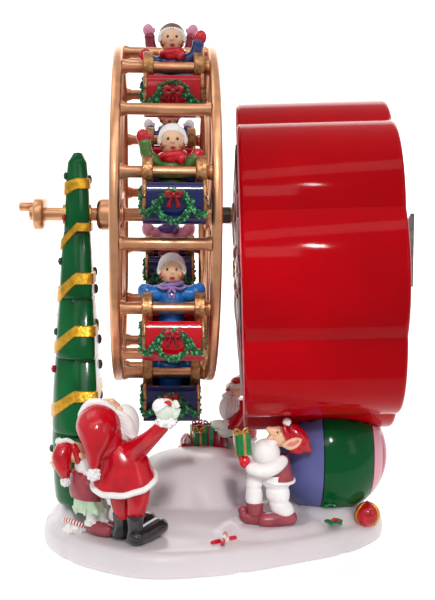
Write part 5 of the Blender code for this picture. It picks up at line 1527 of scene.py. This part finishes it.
def left_helper():
    """The short helper beside the tall figure, in a dusty red tunic over a pale green ragged skirt."""
    piece = Casting("left_helper")
    y = -50.0
    for rows in (
        [
            (-40.5, y + 1, 17.6, 3.8), (-37.0, y - 1, 17.8, 4.6), (-32.6, y - 4, 17.6, 4.4),
            (-30.4, y - 6, 18.4, 3.4),
        ],
        [(-35.5, y + 6, 17.4, 3.8), (-31.5, y + 4, 17.8, 4.4), (-27.6, y + 1, 17.6, 3.8)],
    ):
        piece.tube("dusty_red", rows, sides=16, flat=0.9)
    stand_on(piece, GROUND)
    for x, leg_y in ((-40.6, y), (-33.8, y + 3)):
        piece.loft(
            "fur_white", [(x, leg_y, 19.5, 3.4, 3.4), (x, leg_y, 24, 2.8, 2.8), (x, leg_y, 30, 3.1, 3.1)],
        )
        fringe(piece, "fur_white", 7, (x, leg_y, 21.4), (3.2, 3.2), (0, 0, -1.8), (1.1, 0.4))
    skirt = [(-40.6, y + 1, 27.8, 9.8, 8.4), (-41.2, y + 1, 31, 9.2, 8.0), (-41.8, y, 36.5, 8.2, 7.2)]
    piece.loft("pale_green", skirt, sides=36, wave=0.07, waves=9)
    fringe(piece, "pale_green", 9, (-40.6, y + 1, 29.2), (9.6, 8.3), (0, 0, -2.4), (1.5, 0.5), phase=0.25)
    tunic = [
        (-42.4, y, 35.0, 9.4, 8.2, -1.2, 0.0),
        (-43.4, y, 40.0, 9.4, 8.0, -0.6, 0.0),
        (-45.0, y, 46.0, 7.4, 6.8),
        (-46.4, y, 51.0, 5.2, 5.2),
    ]
    piece.loft("dusty_red", tunic, sides=32, wave=0.02, waves=6)
    piece.tube(
        "dusty_red", [(-42.0, y - 5, 46.5, 3.4), (-37.0, y - 3, 42.5, 3.3), (-33.5, y, 44.0, 2.9)], sides=14,
    )
    fringe(piece, "coat_red", 8, (-46.0, y, 50.0), (5.4, 5.2), (0.3, -0.2, -2.2), (1.5, 0.5))
    piece.ball("fur_white", (-44.0, y - 2, 54.2), (5.6, 5.6, 6.2), spin_y(24), sides=22, rings=14)
    beard_locks(piece, "fur_white", (-44.0, y - 4, 59.0), (-41.6, y - 4, 48.6), 4.0, 1.2, 6, 2.6)
    piece.ball("skin", (-49.6, y - 1, 61.0), (5.8, 5.8, 5.8), sides=22, rings=14)
    piece.tube(
        "skin", [(-47.6, y - 6, 61.0, 1.8), (-45.4, y - 6.6, 60.0, 1.5), (-44.6, y - 6.4, 58.8, 0.9)],
        sides=10,
    )
    piece.ball("ink", (-49.0, y - 6.6, 62.8), 0.6, sides=8, rings=6)
    ear = [(-56.5, y - 3, 57.4, 1.6), (-60.0, y - 3.4, 56.6, 1.9), (-63.2, y - 3.6, 55.6, 0.7)]
    piece.tube("skin", ear, sides=10, flat=0.6)
    piece.ball("coat_red", (-54.4, y - 1.0, 61.6), (6.4, 6.8, 6.6), sides=22, rings=14)
    hat = [
        (-55.0, y - 3, 63.0, 5.4), (-56.4, y - 5, 58.6, 5.4), (-55.4, y - 6, 53.0, 4.4),
        (-54.6, y - 6.2, 49.0, 2.6),
    ]
    piece.tube("coat_red", hat, sides=20)
    piece.tube(
        "coat_red", [(-50.0, y - 5, 65.2, 2.2), (-47.8, y - 6, 60.4, 2.2), (-47.6, y - 5.6, 56.4, 1.4)],
        sides=12,
    )
    piece.tube(
        "fur_white", [(-57.4, y - 4, 67.4, 1.5), (-53.6, y - 5, 68.6, 1.3), (-50.2, y - 5, 67.2, 1.1)],
        sides=10,
    )
    piece.fluff("fur_white", (-58.2, y - 2, 67.2), 2.2, 1)
    piece.fluff("fur_white", (-54.4, y - 6.4, 45.8), 2.9, 4)
    piece.done("base", ["elf_left"], sharp_deg=60)


def gift(piece, paint_name, ribbon, size, centre, turn):
    """A parcel tied with a crossed ribbon and a bow."""
    piece.box(paint_name, size, centre, turn, 0.5)
    piece.box(ribbon, (size[0] * 0.2, size[1] + 0.7, size[2] + 0.7), centre, turn, 0.2)
    piece.box(ribbon, (size[0] + 0.7, size[1] * 0.2, size[2] + 0.7), centre, turn, 0.2)
    top = Vector(centre) + turn @ Vector((0, 0, size[2] / 2 + 0.3))
    width = 0.34 * size[0]
    for side in (-1, 1):
        loop = []
        for dx, dz in ((0.1, 0.0), (0.7, 0.75), (1.35, 0.85), (1.2, 0.15), (0.3, 0.1)):
            loop.append((*(top + turn @ Vector((side * dx * width, 0, dz * width))), 0.13 * size[0] * 0.6))
        piece.tube(ribbon, loop, sides=8)


def right_helper():
    """The short helper near the ball, who leans back and holds up a parcel."""
    piece = Casting("right_helper")
    for rows in (
        [
            (45.4, -41.0, 24.4, 2.4), (46.2, -41.4, 22.0, 3.6), (50.0, -42.0, 20.6, 4.2),
            (56.0, -43.0, 21.0, 4.4),
        ],
        [
            (56.0, -47.6, 20.6, 3.9), (62.0, -47.4, 20.8, 4.3), (70.0, -45.6, 21.2, 4.4),
            (72.4, -44.6, 21.6, 4.2),
        ],
    ):
        piece.tube("dusty_red", rows, sides=18)
    piece.ball("dusty_red", (45.0, -41.0, 25.0), 2.9, sides=14, rings=10)
    stand_on(piece, HELPER_GROUND)
    piece.loft(
        "dusty_red", [(52.0, -42.6, 23, 4.6, 4.6), (51.8, -42.6, 27, 4.8, 4.6), (51.6, -42.6, 30, 5.2, 5.0)],
    )
    left_leg = [
        (51.4, -42.6, 29.6, 4.4, 4.4),
        (51.2, -42.6, 32.0, 5.0, 4.8),
        (51.2, -42.6, 37.0, 4.6, 4.5),
        (51.0, -42.6, 38.6, 4.2, 4.2),
        (51.4, -42.6, 40.4, 4.8, 4.6),
        (53.0, -42.0, 48.0, 5.4, 5.2),
    ]
    piece.loft("fur_white", left_leg)
    right_leg = [
        (68.0, -44.6, 23.4, 5.6, 5.0),
        (67.4, -44.6, 25.8, 6.6, 5.6),
        (66.2, -44.4, 29.2, 6.4, 5.4),
        (65.2, -44.2, 31.0, 5.8, 5.0),
        (64.8, -44.0, 33.6, 6.7, 5.8),
        (64.6, -43.6, 37.0, 6.8, 6.0),
        (64.4, -43.4, 38.6, 6.4, 5.6),
        (63.6, -43.0, 41.0, 8.0, 6.8),
        (62.8, -42.4, 46.0, 8.4, 7.2),
    ]
    piece.loft("fur_white", right_leg)
    vest = [
        (64.6, -41.6, 43.2, 9.4, 8.2, -0.6, 1.2),
        (64.4, -41.4, 47.0, 9.2, 8.0, -1.0, 0.8),
        (64.2, -41.0, 52.0, 7.6, 7.0),
        (65.0, -40.4, 57.0, 5.6, 5.6),
    ]
    piece.loft("dusty_red", vest, sides=32)
    hem = hoop((64.6, -41.6, 43.2), (9.5, 8.3), 1.0, 28, (-0.6, 1.2))
    piece.tube("fur_white", hem, sides=8, loop=True)
    piece.ball("fur_white", (57.6, -43.0, 58.6), (8.2, 7.6, 8.2), spin_y(-12), sides=26, rings=18)
    piece.ball("fur_white", (55.0, -42.6, 50.0), (6.4, 6.4, 5.6), sides=22, rings=14)
    sleeve = [
        (67.0, -45.6, 54.6, 3.4), (62.0, -50.0, 51.6, 4.0), (55.0, -50.6, 49.8, 4.0),
        (48.4, -48.4, 51.0, 3.4),
    ]
    piece.tube("fur_white", sleeve, sides=18)
    piece.ball("candy_red", (45.4, -47.4, 54.4), (3.2, 3.2, 3.7), sides=18, rings=12)
    piece.tube("candy_red", [(43.4, -48.6, 55.0, 1.2), (42.6, -49.4, 57.4, 1.3)], sides=10)
    gift(piece, "gift_green", "gift_gold", (8.2, 7.4, 12.0), (43.9, -46.6, 64.4), spin_y(-4) @ spin_z(18))
    right_helper_head(piece)
    piece.done("base", ["elf_right"], sharp_deg=60)


def right_helper_head(piece):
    """The helper's head, turned up towards the wheel."""
    piece.ball("skin", (65.6, -41.6, 67.6), (6.4, 5.8, 5.8), sides=24, rings=16)
    piece.tube(
        "skin", [(64.0, -44.0, 70.6, 3.4), (61.0, -44.6, 71.4, 2.6), (58.6, -44.8, 72.6, 1.5)], sides=14,
    )
    piece.ball("skin", (60.4, -45.2, 67.4), (2.6, 2.4, 1.9), sides=14, rings=10)
    piece.ball("fur_white", (60.0, -45.4, 64.6), (4.2, 3.4, 2.6), sides=16, rings=10)
    piece.ball("ink", (63.7, -47.2, 71.2), (0.55, 0.5, 0.7), sides=8, rings=6)
    ear = [
        (67.4, -47.4, 63.8, 1.4), (70.6, -48.2, 64.2, 3.2), (74.6, -48.4, 66.0, 2.7),
        (78.0, -48.2, 67.6, 0.7),
    ]
    piece.tube("skin", ear, sides=14, flat=0.45, hint=Vector((0, 1, 0)))
    inner = [(69.4, -49.3, 64.2, 0.7), (71.8, -49.6, 65.0, 1.5), (75.0, -49.5, 66.5, 1.0)]
    piece.tube("skin_pink", inner, sides=10, flat=0.3, hint=Vector((0, 1, 0)))
    piece.ball("coat_red", (72.6, -41.4, 67.6), (5.6, 6.4, 7.6), spin_y(20), sides=24, rings=16)
    hat = [
        (72.0, -43.4, 72.0, 3.6), (75.4, -43.8, 68.6, 4.8), (78.6, -44.0, 63.4, 4.8),
        (82.2, -44.2, 60.2, 2.0),
    ]
    piece.tube("coat_red", hat, sides=20)
    piece.ball("coat_red", (75.4, -43.0, 61.4), (5.6, 5.0, 3.8), sides=20, rings=12)
    piece.tube(
        "coat_red", [(67.6, -46.4, 74.2, 1.5), (68.6, -47.4, 70.6, 1.9), (70.4, -47.2, 67.4, 1.6)], sides=12,
    )
    piece.fluff("fur_white", (69.2, -45.6, 76.6), 2.4, 2)


def rear_figure():
    """The tall figure behind the ridge, with a long white beard and pale green mittens."""
    piece = Casting("tall_figure_back")
    y = 68.0
    for x in (47.4, 56.6):
        boot = [(x + 0.8, y + 2, 30.6, 3.6), (x, y - 2, 30.6, 4.0), (x - 1.0, y - 7, 30.4, 3.8)]
        piece.tube("boot_black", boot, sides=16)
        piece.loft("mint_white", [(x, y, 33, 4.2, 4.4), (x, y, 40, 4.6, 4.8), (x, y, 47, 5.4, 5.4)])
    stand_on(piece, 26.8)
    coat = [
        (51.4, y, 44.0, 9.8, 8.8),
        (52.0, y, 48.0, 10.4, 9.2),
        (52.6, y, 56.0, 9.6, 8.6),
        (52.0, y, 64.0, 8.2, 7.4),
        (50.0, y, 71.0, 5.4, 5.4),
    ]
    piece.loft("coat_red", coat, sides=32)
    piece.tube("fur_white", hoop((51.4, y, 44.4), (9.9, 8.9), 1.6, 28), sides=10, loop=True)
    piece.tube(
        "coat_red", [(50.0, y - 5, 62.0, 4.4), (47.0, y - 9, 57.0, 4.2), (43.0, y - 11, 54.4, 3.8)], sides=16,
    )
    piece.fluff("fur_white", (41.0, y - 10.6, 55.2), (3.2, 4.2, 4.4), 1)
    for mitten in (
        [(40.4, y - 10.6, 53.6, 4.2), (36.6, y - 10.4, 55.4, 3.8), (33.2, y - 10.0, 55.8, 3.0)],
        [(43.6, y - 11.0, 51.6, 3.6), (40.4, y - 11.6, 50.4, 3.4), (37.4, y - 11.6, 51.2, 2.6)],
    ):
        piece.tube("mint_white", mitten, sides=16)
    piece.ball("skin", (47.4, y - 2, 77.6), (5.8, 5.8, 6.0), sides=24, rings=16)
    piece.ball("skin_pink", (42.2, y - 6, 78.0), 1.5, sides=12, rings=8)
    piece.ball("skin", (46.0, y - 6.4, 76.6), 2.4, sides=12, rings=8)
    piece.ball("ink", (43.6, y - 6.6, 80.2), 0.6, sides=8, rings=6)
    piece.ball("ink", (41.6, y - 6.2, 73.4), (1.5, 1.2, 1.1), sides=10, rings=6)
    piece.tube(
        "fur_white", [(45.0, y - 7.4, 76.0, 1.0), (41.8, y - 7.8, 75.6, 1.6), (39.2, y - 7.0, 74.0, 1.2)],
        sides=10,
    )
    piece.ball("fur_white", (43.8, y - 4.0, 67.2), (6.8, 6.0, 8.4), spin_y(14), sides=24, rings=16)
    beard_locks(piece, "fur_white", (45.0, y - 7.0, 73.6), (41.2, y - 7.0, 59.0), 5.4, 1.4, 7, 3.4)
    piece.ball("coat_red", (49.6, y - 0.6, 81.4), (5.6, 6.2, 4.9), sides=22, rings=14)
    piece.tube(
        "coat_red", [(51.0, y + 2, 83.0, 4.2), (54.6, y + 5, 80.0, 3.4), (56.6, y + 7, 74.6, 2.2)], sides=16,
    )
    piece.fluff("fur_white", (57.0, y + 7.4, 72.0), 2.8, 2)
    piece.tube("fur_white", hoop((48.2, y - 1.4, 80.6), (5.9, 6.0), 1.4, 24, (0.9, 0.0)), sides=10, loop=True)
    piece.done("base", ["santa_back"], sharp_deg=60)


def sled():
    """The sled behind the ridge, with parcels, a bundle and striped balls."""
    piece = Casting("loaded_sled")
    deck = spin_y(5.5)
    piece.box("rose_wood", (32.0, 22.0, 3.0), (27.0, 63.0, 39.6), deck, 0.6)
    for y in (53.4, 72.6):
        piece.box("coat_red", (31.0, 1.6, 3.6), (27.2, y, 41.0), deck, 0.5)
        runner = [(44.0, y, 29.6, 1.2), (34.0, y, 28.4, 1.2), (20.0, y, 28.4, 1.2), (12.6, y, 30.0, 1.2)]
        runner += [(9.8, y, 35.0, 1.1), (11.6, y, 38.4, 0.9)]
        piece.tube("gift_gold", runner, sides=10)
        for x in (19.0, 36.0):
            piece.tube("gift_gold", [(x, y, 29.0, 1.0), (x, y, 38.6, 1.0)], sides=8, steps=1)
    for paint_name, ribbon, size, centre, turn_deg in (
        ("gift_green", "gift_gold", (8.0, 8.0, 9.6), (23.6, 56.6, 46.4), 12),
        ("gift_green", "wine", (7.4, 8.0, 13.6), (30.2, 60.6, 48.2), -10),
        ("gift_green", "candy_red", (7.6, 8.0, 7.6), (22.6, 66.6, 50.4), 24),
        ("wine", "gift_gold", (8.6, 8.6, 6.2), (22.6, 66.6, 43.6), 6),
    ):
        gift(piece, paint_name, ribbon, size, centre, spin_z(turn_deg))
    bundle = [(37.0, 61.0, 39.6, 5.6, 6.4), (36.8, 61.0, 44.0, 6.0, 7.0)]
    bundle += [(36.4, 61.4, 49.0, 5.2, 5.8), (36.4, 61.6, 51.4, 3.6, 4.0)]
    piece.loft("wine", bundle)
    for place in ((15.6, 56.0, 44.8), (15.0, 62.0, 44.8), (15.6, 69.0, 44.8), (29.6, 70.0, 44.2)):
        piece.ball("fur_white", place, 2.9, sides=16, rings=12)
        for k in range(3):
            angle = math.radians(120 * k + 15 * place[1])
            band = []
            for c, s in ((0.3, 0.95), (0.95, 0.3), (0.95, -0.3)):
                out = Vector((math.cos(angle) * c, math.sin(angle) * c, s))
                band.append((*(Vector(place) + out * 2.55), 0.75))
            piece.tube("candy_red", band, sides=8)
    piece.done("base", ["gift_sled"], sharp_deg=40)


def dress_packed_solids():
    """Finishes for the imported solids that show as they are."""
    bushings = ["tree_bushing", "housing_bushing"]
    screws = [f"cover_screw_{n}" for n in range(1, 5)]
    finishes = {
        "machine_brass": ["axle_pinion", "spring_barrel", "music_cylinder"] + bushings,
        "machine_steel": ["movement_plate", "music_comb", "governor_fly"] + screws,
        "key_grey": ["winding_key"],
        "gloss_red": ["housing_cover"],
        "felt": ["base_pad"],
    }
    for paint_name, nodes in finishes.items():
        for node in nodes:
            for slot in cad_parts[node].material_slots:
                slot.material = PAINTS[paint_name]


add_camera()
add_studio()
mix_paints()
ball_stripe_paint()
dress_packed_solids()
rim(-1)
rim(1)
collar_boss()
rungs()
shaft_and_crank()
gondolas()
housing()
flower()
ball_pedestal()
tree()
tree_ribbons()
tree_painted_shadows()
tree_beads()
snow_base()
snow_ornaments()
waving_figure()
left_helper()
right_helper()
rear_figure()
sled()
